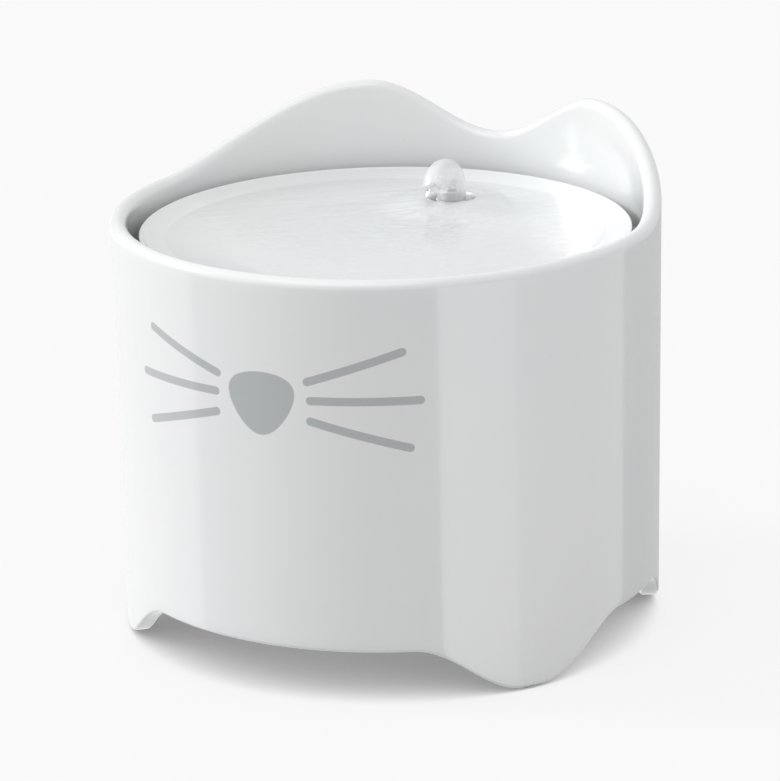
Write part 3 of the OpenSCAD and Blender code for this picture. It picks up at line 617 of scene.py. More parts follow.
class Blank:
    """A mesh in the making, in millimetres."""

    def __init__(self) -> None:
        """Starts empty."""
        self.points: list[Point] = []
        self.faces: list[tuple[int, ...]] = []

    def loft(self, rings: Sequence[Sequence[Point]], start: Point | None = None, end: Point | None = None,
             joined: bool = False) -> "Blank":
        """Skins a row of rings that all have the same number of points.

        Args:
            rings: The rings in order.
            start: Point that closes the first ring.
            end: Point that closes the last ring.
            joined: True where the last ring runs on into the first.

        Returns:
            This blank.
        """
        base, n, m = len(self.points), len(rings[0]), len(rings)
        for ring in rings:
            self.points.extend(ring)
        for j in range(m if joined else m - 1):
            k = (j + 1) % m
            for i in range(n):
                i2 = (i + 1) % n
                self.faces.append((base + j * n + i, base + j * n + i2, base + k * n + i2, base + k * n + i))
        for pole, j in ((start, 0), (end, m - 1)):
            if pole is not None:
                tip = len(self.points)
                self.points.append(pole)
                for i in range(n):
                    self.faces.append((base + j * n + i, base + j * n + (i + 1) % n, tip))
        return self

    def turned(self, outline: Sequence[Flat], steps: int) -> "Blank":
        """Turns an outline about the Z axis.

        Args:
            outline: Radius and height of its points. The first and the last lie on the axis.
            steps: Steps in a full turn.

        Returns:
            This blank.
        """
        start, end = ((0.0, 0.0, outline[i][1]) for i in (0, -1))
        rings = [[(x, y, z) for x, y in circle(r, steps)] for r, z in outline[1:-1]]
        return self.loft(rings, start, end)

    def piece(self, name: str, sharp: float = 35.0, marks: dict[str, list[float]] | None = None
              ) -> Object:
        """Makes the mesh and its object.

        Args:
            name: Name of the piece.
            sharp: Edges that turn by more than this many degrees stay crisp.
            marks: Values for each point, by attribute name.

        Returns:
            The object, at the origin.
        """
        mesh = bpy.data.meshes.new(name)
        mesh.from_pydata([(x * MM, y * MM, z * MM) for x, y, z in self.points], [], self.faces)
        for mark, values in (marks or {}).items():
            mesh.attributes.new(mark, "FLOAT", "POINT").data.foreach_set("value", values)
        return finished(linked(name, mesh), sharp)


def linked(name: str, data: ID) -> Object:
    """Makes an object and links it to the scene.

    Args:
        name: Its name.
        data: Its mesh, lamp or camera.

    Returns:
        The object, at the origin.
    """
    made = bpy.data.objects.new(name, data)
    bpy.context.scene.collection.objects.link(made)
    return made


def finished(piece: Object, sharp: float = 35.0) -> Object:
    """Merges doubles, turns the faces outwards and smooths the shading.

    Args:
        piece: A mesh object.
        sharp: Edges that turn by more than this many degrees stay crisp.

    Returns:
        The object.
    """
    work = bmesh.new()
    work.from_mesh(piece.data)
    bmesh.ops.remove_doubles(work, verts=work.verts, dist=2e-6)
    bmesh.ops.dissolve_degenerate(work, edges=work.edges, dist=1e-7)
    bmesh.ops.recalc_face_normals(work, faces=work.faces)
    work.to_mesh(piece.data)
    work.free()
    piece.data.polygons.foreach_set("use_smooth", [True] * len(piece.data.polygons))
    piece.data.set_sharp_from_angle(angle=radians(sharp))
    return piece


def baked(piece: Object) -> Object:
    """Applies a piece's modifiers.

    Args:
        piece: A linked object with modifiers.

    Returns:
        The same object, with the result as its own mesh.
    """
    graph = bpy.context.evaluated_depsgraph_get()
    mesh = bpy.data.meshes.new_from_object(piece.evaluated_get(graph))
    piece.modifiers.clear()
    piece.data = mesh
    return piece


def carved(piece: Object, tool: Object) -> Object:
    """Cuts a tool's shape out of a piece and removes the tool.

    Args:
        piece: The piece that is cut.
        tool: The shape.

    Returns:
        The piece.
    """
    cut = piece.modifiers.new("cut", "BOOLEAN")
    cut.operation = "DIFFERENCE"
    cut.solver = "EXACT"
    cut.object = tool
    baked(piece)
    bpy.data.objects.remove(tool)
    return finished(piece)


def dressed(piece: Object, material: Material, body: str, slot: str,
            *nodes: str) -> Object:
    """Gives a piece its finish and its place in the assembly.

    Args:
        piece: The piece.
        material: Its finish.
        body: CAD body that it moves with.
        slot: Material slot of the record; not used.
        nodes: CAD nodes that it stands for.

    Returns:
        The piece.
    """
    piece.data.materials.clear()
    piece.data.materials.append(material)
    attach(piece, body)
    if nodes:
        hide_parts(*nodes)
    log.info("%s: %d faces, on %s", piece.name, len(piece.data.polygons), body)
    return piece


class Rule(Graph):
    """A Geometry Nodes tree with named inputs, run once on a piece."""

    def __init__(self, name: str, sizes: dict[str, float]) -> None:
        """Makes the tree with its inputs and its output.

        Args:
            name: Name of the tree.
            sizes: Its whole and decimal numbers by name.
        """
        super().__init__(bpy.data.node_groups.new(name, "GeometryNodeTree"))
        self.sizes = sizes
        kinds = {size: "Int" if isinstance(value, int) else "Float" for size, value in sizes.items()}
        for socket, kind in {"Geometry": "Geometry", **kinds, "Material": "Material"}.items():
            self.tree.interface.new_socket(socket, in_out="INPUT", socket_type="NodeSocket" + kind)
        self.tree.interface.new_socket("Geometry", in_out="OUTPUT", socket_type="NodeSocketGeometry")
        entry = self.tree.nodes.new("NodeGroupInput")
        self.inputs = {socket.name: Wire(self, socket) for socket in entry.outputs if socket.name}

    def run(self, geometry: Wire, piece: Object, material: Material,
            sharp: float) -> Object:
        """Ends the tree, runs it on a piece and keeps the result as the piece's own mesh.

        Args:
            geometry: What the tree makes.
            piece: A linked object.
            material: Material of the result.
            sharp: Edges that turn by more than this many degrees stay crisp.

        Returns:
            The piece.
        """
        real = self.add("GeometryNodeRealizeInstances", values={0: geometry})
        dressed_up = self.add("GeometryNodeSetMaterial", values={
            "Geometry": real, "Material": self.inputs["Material"]})
        self.feed(self.tree.nodes.new("NodeGroupOutput").inputs["Geometry"], dressed_up)
        rule = piece.modifiers.new("rule", "NODES")
        rule.node_group = self.tree
        values = {**self.sizes, "Material": material}
        for item in self.tree.interface.items_tree:
            if item.in_out == "INPUT" and item.name in values:
                rule[item.identifier] = values[item.name]
        return finished(baked(piece), sharp)


# ---- Bowl ----


@dataclass
class Bowl:
    """Round ceramic bowl with two ears, four feet and a port for the cord."""

    rim_r: float = 100.0
    base_r: float = 98.8
    wall: float = 6.5
    rim_h: float = 154.0
    ear_rise: float = 26.0
    valley_rise: float = 7.3
    ear_angle: float = 29.3
    ear_slope: float = 56.0
    arch_h: float = 18.4
    foot_angle: float = 56.0
    foot_slope: float = 24.0
    foot_flat: float = 2.0
    pad_t: float = 0.8
    foot_edge: float = 1.4
    floor_z0: float = 20.7
    floor_z: float = 26.7
    fillet: float = 6.0
    port_z: float = 123.0
    port_r: float = 4.5
    port_y: float = 85.0
    port_end_y: float = 105.0
    seat_r: float = 7.4
    seat_y: float = 97.56
    steps: int = 288
    wall_rings: int = 48
    inner_rings: int = 36

    def outer_r(self, z: float) -> float:
        """Outer radius of the wall at a height."""
        return self.base_r + (self.rim_r - self.base_r) * min(z, self.rim_h) / self.rim_h

    def outline(self) -> list[Row]:
        """Outline of a plain tub, from under the floor round to its top.

        Returns:
            Radius and height of each point, with how far it follows the feet and the rim.
        """
        lip, edge = self.wall / 2, self.foot_edge
        low_z, high_z = self.pad_t + edge, self.rim_h - lip
        foot_r, mid_r = self.outer_r(self.pad_t), self.outer_r(high_z) - lip
        skirt_r, skirt_z = foot_r - self.wall, self.floor_z0 - 0.05
        corner_r, corner_z = self.outer_r(self.floor_z) - self.wall - self.fillet, self.floor_z + self.fillet

        def rows(points: Sequence[Flat], feet: float = 0.0, rim: float = 0.0
                 ) -> list[Row]:
            """Rows for points that follow the feet and the rim alike."""
            return [(r, z, feet, rim) for r, z in points]

        found = rows([(r, self.floor_z0) for r in (0.0, 12, 30, 50, 70, 84, skirt_r)])
        found += [(skirt_r, skirt_z - t * (skirt_z - low_z), t, 0.0) for t in (0.25, 0.5, 0.75)]
        found += rows(arc((skirt_r + edge, low_z), edge, 180, 270, 5), feet=1.0)
        found += rows(arc((foot_r - edge, low_z), edge, -90, 0, 5), feet=1.0)
        for t in (i / self.wall_rings for i in range(1, self.wall_rings)):
            z = low_z + (high_z - low_z) * t
            found.append((self.outer_r(z), z, 1.0 - t, t))
        found += rows(arc((mid_r, high_z), lip, 0, 180, 16), rim=1.0)
        for t in (1 - i / self.inner_rings for i in range(1, self.inner_rings)):
            z = corner_z + (high_z - corner_z) * t
            found.append((self.outer_r(z) - self.wall, z, 0.0, t))
        found += rows(arc((corner_r, corner_z), self.fillet, 0, -90, 8))
        return found + rows([(r, self.floor_z) for r in (70, 48, 24, 0.0)])

    def tub(self) -> Object:
        """Makes the plain tub, with the two weights as attributes.

        Returns:
            The tub, before its ears and feet.
        """
        rows = self.outline()
        marks = {name: [row[column] for row in rows[1:-1] for _ in range(self.steps)] + [0.0, 0.0]
                 for name, column in (("follows_feet", 2), ("follows_rim", 3))}
        return Blank().turned([(r, z) for r, z, _, _ in rows], self.steps).piece("bowl_body", 50.0, marks)

    def shaped(self, piece: Object, glaze: Material) -> Object:
        """Raises the ears and arches the wall between the feet, by a Geometry Nodes rule.

        Args:
            piece: The plain tub.
            glaze: The glaze's material.

        Returns:
            The piece.
        """
        graph = Rule("EarsAndFeet", {
            "Rim height": self.rim_h, "Ear rise": self.ear_rise, "Valley rise": self.valley_rise,
            "Ear angle": self.ear_angle, "Ear slope": self.ear_slope, "Arch height": self.arch_h,
            "Foot angle": self.foot_angle, "Foot slope": self.foot_slope, "Foot flat": self.foot_flat,
            "Taper": (self.rim_r - self.base_r) / self.rim_h})
        size = graph.inputs
        x, y, z = graph.split(graph.add("GeometryNodeInputPosition"))
        low, high = (graph.add("GeometryNodeInputNamedAttribute", {"data_type": "FLOAT"}, {"Name": name})
                     for name in ("follows_feet", "follows_rim"))
        turn = graph.math("ARCTAN2", x, -y).size() * (180.0 / pi)
        back = 180.0 - turn

        def soft(t: Wire) -> Wire:
            """Smooth step as t runs from 0 to 1."""
            return (1.0 - (t.held() * pi).cosine()) * 0.5

        inside = back < size["Ear angle"]
        valley = size["Valley rise"] + (size["Ear rise"] - size["Valley rise"]) * soft(back / size["Ear angle"])
        slope = size["Ear rise"] * (1.0 - soft((back - size["Ear angle"]) / size["Ear slope"]))
        rise = inside * valley + (1.0 - inside) * slope
        off = (turn.least(180.0 - turn) - size["Foot angle"]).size()
        arch = size["Arch height"] * soft((off - size["Foot flat"]) / size["Foot slope"])
        new_z = z + low * arch + high * rise
        r = (x * x + y * y).root().most(0.001)
        grow = (new_z.least(size["Rim height"]) - z.least(size["Rim height"])) * size["Taper"]
        scale = (r + grow) / r
        moved = graph.add("ShaderNodeCombineXYZ", values={
            0: x * scale * MM, 1: y * scale * MM, 2: new_z * MM})
        wall = graph.add("GeometryNodeSetPosition", values={"Geometry": size["Geometry"], "Position": moved})
        return graph.run(wall, piece, glaze, 50.0)

    def build(self, glaze: Material) -> Object:
        """Shapes the bowl and cuts the cord port.

        Args:
            glaze: The glaze's material.

        Returns:
            The bowl.
        """
        piece = self.shaped(self.tub(), glaze)
        for r, start in ((self.port_r, self.port_y), (self.seat_r, self.seat_y)):
            carved(piece, self.port_bar(r, start, self.port_end_y))
        return piece

    def port_bar(self, r: float, start: float, end: float) -> Object:
        """Bar along Y on the axis of the cord port, from start to end."""
        rings = [[(x, y, z) for x, z in circle(r, 64, self.port_z)] for y in (start, end)]
        return Blank().loft(rings, (0.0, start, self.port_z), (0.0, end, self.port_z)).piece("port_bar")


# ---- Tray ----


@dataclass
class Tray:
    """Shallow ceramic dish with a mound round the spout hole."""

    edge_r: float = 89.45
    edge_w: float = 1.6
    slope_w: float = 30.0
    base_z: float = 137.0
    floor_z: float = 142.0
    depth: float = 5.5
    lip_h: float = 0.5
    hole_y: float = 57.129
    hole_r: float = 8.5
    hole_round: float = 1.3
    mound_h: float = 3.0
    mound_top_r: float = 11.5
    mound_slope_w: float = 19.0
    under_edge: float = 0.9
    foot_in: float = 1.5
    foot_round: float = 2.0
    steps: int = 256

    def top_z(self, x: float, y: float) -> float:
        """Height of the tray's upper face at a place.

        Args:
            x: Place across the tray.
            y: Place along the tray.

        Returns:
            The height above the table.
        """
        slope_r = self.edge_r - self.edge_w - self.slope_w
        t = min(max((hypot(x, y) - slope_r) / self.slope_w, 0.0), 1.0)
        dish = (self.depth - self.lip_h) * t ** 1.5
        away = hypot(x, y - self.hole_y) - self.mound_top_r
        mound = self.mound_h * ease(1 - away / self.mound_slope_w)
        return self.floor_z + (dish ** 5 + mound ** 5) ** 0.2

    def ring(self, s: float, out: float, height: Callable[[float, float], float]) -> list[Point]:
        """Ring between the spout hole and the tray's edge.

        Args:
            s: 0 at the hole and 1 at the edge.
            out: Extra radius.
            height: Height of a point from its place.

        Returns:
            The ring's points.
        """
        top_r = self.edge_r - self.edge_w
        r = self.hole_r + (top_r - self.hole_r) * s + out
        mid_y = self.hole_y * (1 - s)
        return [(x, y, height(x, y)) for x, y in circle(r, self.steps, mid_y)]

    def build(self) -> Object:
        """Makes the tray.

        Returns:
            The tray.
        """
        def at(z: float) -> Callable[[float, float], float]:
            """Height that is the same all round a ring."""
            return lambda x, y: z

        edge, foot, top_r = self.edge_w / 2, self.foot_round, self.edge_r - self.edge_w
        hole_z, mound_z = self.base_z + self.under_edge, self.floor_z + self.mound_h
        rings = [self.ring(0.0, 0.9, at(self.base_z)), self.ring(0.0, 0.3, at(self.base_z + 0.4)),
                 self.ring(0.0, 0.0, at(hole_z))]
        rings += [self.ring(0.0, 0.0, at(hole_z + t * (mound_z - self.hole_round - hole_z)))
                  for t in (0.33, 0.66, 1.0)]
        rings += [self.ring(0.0, self.hole_round * (1 - cos(t)), at(mound_z - self.hole_round * (1 - sin(t))))
                  for t in (pi / 2 * i / 6 for i in range(1, 7))]
        start = self.hole_round / (top_r - self.hole_r)
        rings += [self.ring(start + (1 - start) * i / 84, 0.0, self.top_z) for i in range(1, 85)]
        outline = arc((self.edge_r - edge, self.floor_z + self.depth - edge), edge, 120, 0, 8)
        outline += arc((self.edge_r - self.foot_in - foot, self.base_z + foot), foot, -20, -90, 5)
        rings += [self.ring(1.0, r - top_r, at(z)) for r, z in outline]
        rings += [self.ring(s, 0.0, at(self.base_z)) for s in (0.85, 0.6, 0.35, 0.12)]
        return Blank().loft(rings, joined=True).piece("tray_dish", 40.0)


# ---- Spout ----


@dataclass
class Spout:
    """Clear hood that turns the water over and pours it towards the nose."""

    hole_y: float = 57.129
    foot_z: float = 144.0
    foot_r: float = 5.4
    wall: float = 1.2
    rise: float = 4.5
    bend_r: float = 7.4
    turn: float = 146.0
    lip_l: float = 2.4
    mouth_half_w: float = 5.0
    mouth_half_h: float = 4.3
    sides: int = 72

    def path(self) -> list[Row]:
        """Works out the middle line, up the column, round the bend and out to the lip.

        Returns:
            Distance along Y, height, heading in radians and share of the way, for each ring.
        """
        steps, bend_z = 40, self.foot_z + self.rise
        end = radians(self.turn)
        line = [(0.0, self.foot_z + self.rise * i / 6, 0.0, i / 6 / 12) for i in range(6)]
        for i in range(steps + 1):
            t = end * i / steps
            line.append((-self.bend_r * (1 - cos(t)), bend_z + self.bend_r * sin(t), t,
                         (1 + 10 * i / steps) / 12))
        y, z, _, _ = line[-1]
        for i in range(1, 9):
            step = self.lip_l * i / 8
            line.append((y - step * sin(end), z + step * cos(end), end, (11 + i / 8) / 12))
        return line

    def ring(self, at: Row, inset: float) -> list[Point]:
        """Ring round a point of the middle line.

        Args:
            at: A row of the path.
            inset: Depth below the outside.

        Returns:
            The ring's points.
        """
        y, z, heading, k = at
        half_w = self.foot_r + (self.mouth_half_w - self.foot_r) * ease(k) - inset
        half_h = self.foot_r + (self.mouth_half_h - self.foot_r) * ease(k) - inset
        return [(half_w * cos(a), self.hole_y + y + half_h * sin(a) * cos(heading),
                 z + half_h * sin(a) * sin(heading)) for a in turns(self.sides)]

    def build(self) -> Object:
        """Makes the hood, open at its foot and at its mouth.

        Returns:
            The hood.
        """
        line, lip_r = self.path(), self.wall / 2
        y, z, heading, k = line.pop()
        rings = [self.ring(at, 0.0) for at in line]
        for t in (pi * i / 8 for i in range(1, 8)):
            back = lip_r * (1 - sin(t))
            at = (y + back * sin(heading), z - back * cos(heading), heading, k)
            rings.append(self.ring(at, lip_r * (1 - cos(t))))
        rings += [self.ring(at, self.wall) for at in reversed(line)]
        return Blank().loft(rings, joined=True).piece("clear_hood", 50.0)


# ---- Water ----


@dataclass
class Water:
    """Water that lies in the tray and falls from the spout."""

    tray: Tray = field(default_factory=Tray)
    level: float = 145.2
    film_r: float = 80.0
    film_t: float = 0.12
    film_gap: float = 1.1
    shore_w: float = 8.0
    rings_y: float = 20.0
    ring_pitch: float = 5.8
    ring_h: float = 0.13
    ring_reach: float = 24.0
    ridge_h: float = 0.4
    ridge_w: float = 2.3
    ridge_l: float = 22.0
    mouth: Flat = (42.8, 151.5)
    land_y: float = 36.5
    land_h: float = 0.15
    sheet_half_w: float = 3.6
    sheet_taper: float = 1.6
    drop_r: float = 0.85

    def ripple(self, x: float, y: float) -> float:
        """Height of the rings, the swell and the ridge where the stream runs off.

        Args:
            x: Place across the tray.
            y: Place along the tray.

        Returns:
            The height above the water's level.
        """
        away = hypot(x, y - self.rings_y)
        stray = 0.9 * sin(0.21 * x + 0.13 * y) + 0.7 * sin(0.34 * y - 0.17 * x + 1.3)
        phase = 2 * pi * away / self.ring_pitch + 2.2 * stray
        rings = self.ring_h * cos(phase) * exp(-away / self.ring_reach)
        swell = 0.035 * sin(0.31 * x + 0.17 * y) + 0.03 * sin(0.63 * y - 0.49 * x + 1.3)
        edge = min(1.0, max(0.0, (self.film_r - hypot(x, y)) / self.shore_w))
        along = (self.land_y + 3.0 - y) / self.ridge_l
        bank = sin(pi * along) if 0.0 < along < 1.0 else 0.0
        ridge = self.ridge_h * bank * exp(-((x + 1.2 * along * along) / self.ridge_w) ** 2)
        return (rings + swell) * edge + ridge

    def film_ring(self, s: float, drop: float) -> list[Point]:
        """Ring between the hole and the water's edge.

        Args:
            s: 0 at the hole and 1 at the edge.
            drop: Depth below the water's surface.

        Returns:
            The ring's points.
        """
        start_r = self.tray.hole_r + self.film_gap
        r, mid_y = start_r + (self.film_r - start_r) * s, self.tray.hole_y * (1 - s)
        return [(x, y, self.level + self.ripple(x, y) - drop) for x, y in circle(r, 256, mid_y)]

    def film(self) -> Object:
        """Makes the water in the tray, up to the edge of the hole.

        Returns:
            The film.
        """
        rim = 0.02
        rings = [self.film_ring(s, drop) for s, drop in ((0.0, 0.16), (0.004, 0.1), (0.01, 0.04))]
        rings += [self.film_ring(rim + (1 - rim) * i / 130, 0.0) for i in range(131)]
        rings += [self.film_ring(rim + (1 - rim) * i / 40, self.film_t) for i in range(40, -1, -1)]
        rings += [self.film_ring(0.004, self.film_t * 2)]
        return Blank().loft(rings, joined=True).piece("water_film", 60.0)

    def sheet(self, t: float, low_z: float) -> Point:
        """Half width, place along Y and height of the falling sheet.

        Args:
            t: Share of its way.
            low_z: Height at its end.

        Returns:
            The three measures.
        """
        y = self.mouth[0] - (self.mouth[0] - self.land_y) * t
        z = self.mouth[1] - (self.mouth[1] - low_z) * (0.12 * t + 0.88 * t * t)
        return self.sheet_half_w - self.sheet_taper * ease(t * 1.2), y, z

    def stream(self) -> Object:
        """Makes the falling sheet of water from the mouth to where it lands.

        Returns:
            The sheet.
        """
        steps = 48
        rings = []
        for t in (j / steps for j in range(steps + 1)):
            half_w, y, z = self.sheet(t, self.level + self.land_h)
            half_w -= 1.2 * max(0.0, t - 0.86) / 0.14
            half_t = 1.5 + 0.3 * sin(5.5 * t) - 1.0 * ease((t - 0.6) / 0.4)
            wave = 0.22 * sin(17 * t)
            rings.append([(half_w * cos(a) * (1 + 0.14 * cos(3 * a + 4 * t)), y + wave * sin(a),
                           z + half_t * sin(a) * (1 + 0.14 * cos(3 * a + 4 * t)) + wave)
                          for a in turns(40)])
        start, end = (tuple(sum(part) / len(ring) for part in zip(*ring)) for ring in (rings[0], rings[-1]))
        return Blank().loft(rings, start, end).piece("water_stream", 60.0)

    def drops(self, water: Material) -> Object:
        """Scatters drops along both edges of the falling sheet, by a Geometry Nodes rule.

        Args:
            water: Their material.

        Returns:
            The drops.
        """
        blank, steps = Blank(), 8
        for side in (-1, 1):
            base = len(blank.points)
            for j in range(steps + 1):
                half_w, y, z = self.sheet(0.02 + 0.8 * j / steps, self.level)
                blank.points += [(side * half_w - 0.5, y, z - 0.3), (side * half_w + 0.5, y, z + 0.3)]
            blank.faces += [tuple(base + 2 * j + k for k in (0, 1, 3, 2)) for j in range(steps)]
        graph = Rule("Drops", {"Density": 1.6e5, "Smallest": 0.25, "Largest": 1.0, "Radius": self.drop_r * MM,
                               "Seed": 7})
        given = graph.inputs
        points = graph.add("GeometryNodeDistributePointsOnFaces", values={
            "Mesh": given["Geometry"], "Density": given["Density"], "Seed": given["Seed"]})
        size = graph.add("FunctionNodeRandomValue", {"data_type": "FLOAT"}, {
            2: given["Smallest"], 3: given["Largest"], "Seed": given["Seed"]}, 1)
        drop = graph.add("GeometryNodeMeshIcoSphere", values={"Radius": given["Radius"], "Subdivisions": 3})
        placed = graph.add("GeometryNodeInstanceOnPoints", values={"Points": points, "Instance": drop, "Scale": size})
        return graph.run(placed, blank.piece("water_drops"), water, 60.0)


# ---- Studio ----


@dataclass(frozen=True)
class Lamp:
    """Light from a side in degrees to the right of the camera, its strength and its spread."""

    azimuth: float
    elevation: float
    strength: float
    spread: float


@dataclass(frozen=True)
class Card:
    """Card that a stretch of wall mirrors, from start to end in degrees to the right of the camera."""

    name: str
    start: float
    end: float
    level: float


@dataclass
class Studio:
    """Pale floor, soft light, reflector cards and the camera."""

    azimuth: float = 26.1
    elevation: float = 17.0
    distance: float = 1.5
    aim_z: float = 0.0849
    aim_right: float = 0.00044
    roll: float = -0.021
    lens: float = 188.27
    white: float = 0.947
    sky_level: float = 0.71
    key: Lamp = Lamp(-100.0, 24.0, 1.54, 22.0)
    top: Lamp = Lamp(-30.0, 62.0, 0.6, 50.0)
    cards: tuple[Card, ...] = (
        Card("dim_card", -44.0, 10.3, 0.3),
        Card("bright_card", 10.3, 27.2, 1.6),
        Card("right_card", 27.2, 58.0, 1.15),
        Card("edge_card", 58.0, 100.0, 0.6),
    )
    card_start: float = 0.101
    card_length: float = 1.6
    card_z: float = 0.0005
    floor_half: float = 9.0
    cast_share: float = 0.12
    shade_reach: float = 0.06
    shade_core: float = 0.05
    shade_clear: float = 0.56
    shade_depth: float = 0.74

    def direction(self, azimuth: float, elevation: float) -> Vector:
        """Unit vector from the object towards an azimuth and an elevation in degrees."""
        turn, lift = radians(azimuth), radians(elevation)
        return Vector((sin(turn) * cos(lift), -cos(turn) * cos(lift), sin(lift)))

    def camera(self) -> None:
        """Places the camera."""
        toward = self.direction(self.azimuth, self.elevation)
        right = Vector((cos(radians(self.azimuth)), sin(radians(self.azimuth)), 0.0))
        target = Vector((0.0, 0.0, self.aim_z)) + right * self.aim_right
        lens = bpy.data.cameras.new("camera")
        lens.lens, lens.sensor_width = self.lens, 36.0
        lens.clip_start, lens.clip_end = 0.05, 60.0
        camera = linked("camera", lens)
        turn = (-toward).to_track_quat("-Z", "Y").to_matrix().to_4x4()
        camera.matrix_world = Matrix.Translation(target + toward * self.distance) @ turn @ Matrix.Rotation(
            self.roll, 4, "Z")
        bpy.context.scene.camera = camera

    def sun(self, name: str, lamp: Lamp) -> None:
        """Adds an even light from one side.

        Args:
            name: Name of the lamp.
            lamp: Where it comes from, its strength and its softness.
        """
        light = bpy.data.lights.new(name, "SUN")
        light.energy, light.angle = lamp.strength, radians(lamp.spread)
        toward = self.direction(self.azimuth + lamp.azimuth, lamp.elevation)
        linked(name, light).rotation_euler = toward.to_track_quat("Z", "Y").to_euler()

    def card(self, card: Card) -> Object:
        """Lays a glowing card on the floor, which only the glaze's reflections show.

        Args:
            card: Its name, the stretch of wall that mirrors it, and its level.

        Returns:
            The card.
        """
        corners, steps = [], 6
        for i in range(steps + 1):
            turn = card.start + (card.end - card.start) * i / steps
            foot = self.direction(self.azimuth + turn, 0.0) * self.card_start
            far = foot + self.direction(self.azimuth + 2 * turn, 0.0) * self.card_length
            corners += [(foot.x, foot.y, self.card_z), (far.x, far.y, self.card_z)]
        mesh = bpy.data.meshes.new(card.name)
        mesh.from_pydata(corners, [], [tuple(2 * i + k for k in (0, 1, 3, 2)) for i in range(steps)])
        sheet = linked(card.name, mesh)
        paint = Paint(card.name)
        mesh.materials.append(paint.done(paint.glow(card.level * (0.97 + paint.noise(60.0) * 0.06))))
        sheet.visible_camera = sheet.visible_diffuse = sheet.visible_transmission = False
        sheet.visible_shadow = sheet.visible_volume_scatter = False
        return sheet

    def floor(self) -> Object:
        """Adds the pale floor, which shows white to the camera and keeps the object's shadow: a small share of real
        cast shadow, and a painted contact shadow from an ambient-occlusion node that darkens its glow.

        Returns:
            The floor.
        """
        mesh, far = bpy.data.meshes.new("floor"), self.floor_half
        mesh.from_pydata([(-far, -far, 0), (far, -far, 0), (far, far, 0), (-far, far, 0)], [], [(0, 1, 2, 3)])
        floor = linked("floor", mesh)
        paint = Paint("floor_paper")
        ray = paint.add("ShaderNodeLightPath").socket.node
        camera, gloss, through = (Wire(paint, ray.outputs[name]) for name in (
            "Is Camera Ray", "Is Glossy Ray", "Is Transmission Ray"))
        fibre = paint.noise(4.0, 3.0) * 0.004
        # Painted contact shadow: the camera sees the floor's glow darkened where an ambient-occlusion node finds the
        # object close by.
        open_share = paint.add("ShaderNodeAmbientOcclusion", {"samples": 24}, {"Distance": self.shade_reach}, "AO")
        shade = ((open_share - self.shade_core) * (1.0 / (self.shade_clear - self.shade_core))).held()
        tone = 1.0 - camera * (1.0 - shade) * self.shade_depth
        glow = paint.glow(tone * (self.white - fibre))
        paper = paint.mix(camera, (0.5, 0.5, 0.5), (0.93, 0.93, 0.93))
        lit = paint.surface(Base_Color=paper, Roughness=0.95, Specular_IOR_Level=0.0)
        shown = camera * (1.0 - self.cast_share) + gloss.most(through)
        mesh.materials.append(paint.done(paint.blend(shown.held(), lit, glow)))
        return floor

    def sky(self) -> None:
        """Sets the even light from all round."""
        world = bpy.data.worlds.new("studio")
        world.use_nodes = True
        world.node_tree.nodes.clear()
        graph = Graph(world.node_tree)
        camera = graph.add("ShaderNodeLightPath", out="Is Camera Ray")
        strength = camera * (self.white - self.sky_level) + self.sky_level
        light = graph.add("ShaderNodeBackground", values={"Color": WHITE, "Strength": strength})
        out = world.node_tree.nodes.new("ShaderNodeOutputWorld")
        graph.feed(out.inputs["Surface"], light)
        bpy.context.scene.world = world

    def build(self) -> None:
        """Sets the floor, lights, cards and camera."""
        self.camera()
        self.sky()
        self.sun("key", self.key)
        self.sun("top", self.top)
        self.floor()
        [self.card(card) for card in self.cards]
        bpy.context.scene.view_settings.view_transform = "Standard"


# ---- Pieces carried over from the CAD model ----


class Finish(Protocol):
    """A finish that builds its own material."""

    def material(self) -> Material:
        """Builds the material."""


@dataclass(frozen=True)
class Carried:
    """CAD nodes that keep their shape and take one finish."""

    finish: Finish
    nodes: tuple[str, ...]

    def dress(self) -> None:
        """Puts the finish on the nodes."""
        material = self.finish.material()
        for node in self.nodes:
            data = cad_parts[node].data
            if not data.materials:
                data.materials.append(material)
            for i in range(len(data.materials)):
                data.materials[i] = material
            log.info("%s: %s", node, material.name)


def four(name: str) -> tuple[str, ...]:
    """Names of four alike nodes."""
    return tuple(f"{name}_{i}" for i in range(1, 5))


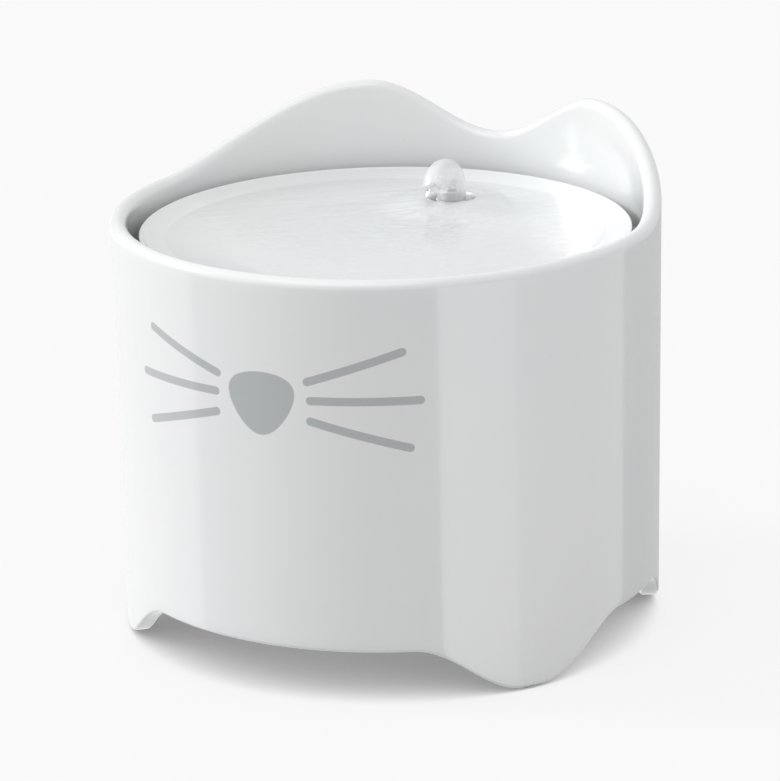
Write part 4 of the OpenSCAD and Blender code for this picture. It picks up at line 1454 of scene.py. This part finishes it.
def carried_over() -> list[Carried]:
    """Lists the finishes of the CAD nodes that stay in view.

    Returns:
        One row for each finish.
    """
    return [
        Carried(Silicone("pad_silicone", (0.72, 0.74, 0.75)), four("foot_pad") + four("tray_bumper")
                + four("suction_cup") + ("stem_seal", "volute_seal")),
        Carried(Silicone("grommet_silicone", (0.6, 0.61, 0.62)), ("cord_grommet", "cord_gland")),
        Carried(Silicone("bush_rubber", (0.09, 0.09, 0.095)), ("front_bush", "rear_bush")),
        Carried(MouldedPlastic("stem_plastic", (0.86, 0.87, 0.88), 0.3, 0.8), ("spout_stem",)),
        Carried(MouldedPlastic("white_plastic", (0.83, 0.84, 0.85), 0.35), ("riser_tube", "filter_lid")),
        Carried(MouldedPlastic("pump_plastic", (0.035, 0.037, 0.04), 0.4),
                ("motor_housing", "volute_cover", "intake_grille")),
        Carried(MouldedPlastic("dial_plastic", (0.7, 0.71, 0.72), 0.35), ("flow_dial",)),
        Carried(MouldedPlastic("impeller_plastic", (0.8, 0.8, 0.76), 0.3), ("impeller",)),
        Carried(LayeredMetal("ferrite", Metal.FERRITE), ("rotor_magnet",)),
        Carried(LayeredMetal("core_steel", Metal.LAMINATED_STEEL), ("stator_core",)),
        Carried(LayeredMetal("copper_wire", Metal.COPPER_WIRE), ("stator_coils",)),
        Carried(Glaze("shaft_ceramic", (0.8, 0.79, 0.74), (0.84, 0.82, 0.76)), ("impeller_shaft",)),
        Carried(CircuitBoard("circuit_board"), ("circuit_board",)),
        Carried(MouldedPlastic("potting_resin", (0.02, 0.02, 0.023), 0.18), ("resin_fill",)),
        Carried(MouldedPlastic("case_plastic", (0.75, 0.8, 0.84), 0.25, 0.6), ("filter_case",)),
        Carried(MouldedPlastic("frame_plastic", (0.72, 0.74, 0.76), 0.45), ("cartridge_frame",)),
        Carried(FilterFill("carbon_granules", Porous.CARBON), ("carbon_filter",)),
        Carried(FilterFill("filter_foam", Porous.FOAM), ("foam_block",)),
    ]


BOWL_NODES = ("bowl_front", "bowl_right", "bowl_back", "bowl_left", "bowl_floor") + four("bowl_foot")
TRAY_NODES = ("tray_plate", "tray_side", "tray_mound")


def main() -> None:
    """Builds the fountain and the studio round it."""
    logging.basicConfig(level=logging.INFO, format="%(message)s")
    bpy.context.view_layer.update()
    plain = Glaze("tray_glaze").material()
    marked = Glaze("bowl_glaze", bare_top=1.3, marks=CatMarks()).material()
    water = ClearWater("clear_water").material()
    dressed(Bowl().build(marked), marked, "bowl", "glazed_ceramic", *BOWL_NODES)
    for node in four("tray_lug"):
        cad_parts[node].data.materials[0] = plain
    dressed(Tray().build(), plain, "tray", "glazed_ceramic", *TRAY_NODES)
    dressed(Spout().build(), ClearPlastic("hood_plastic").material(), "spout", "clear_plastic", "spout_hood")
    dressed(Water().film(), water, "tray", "clear_plastic")
    # Falling water, with fainter painted ring shade and a painted dark rim at grazing angles.
    falling = ClearWater("falling_water", shade=0.02, rim=0.35).material()
    dressed(Water().stream(), falling, "spout", "clear_plastic")
    dressed(Water().drops(falling), falling, "spout", "clear_plastic")
    for group in carried_over():
        group.dress()
    Studio().build()


if __name__ == "__main__":
    main()
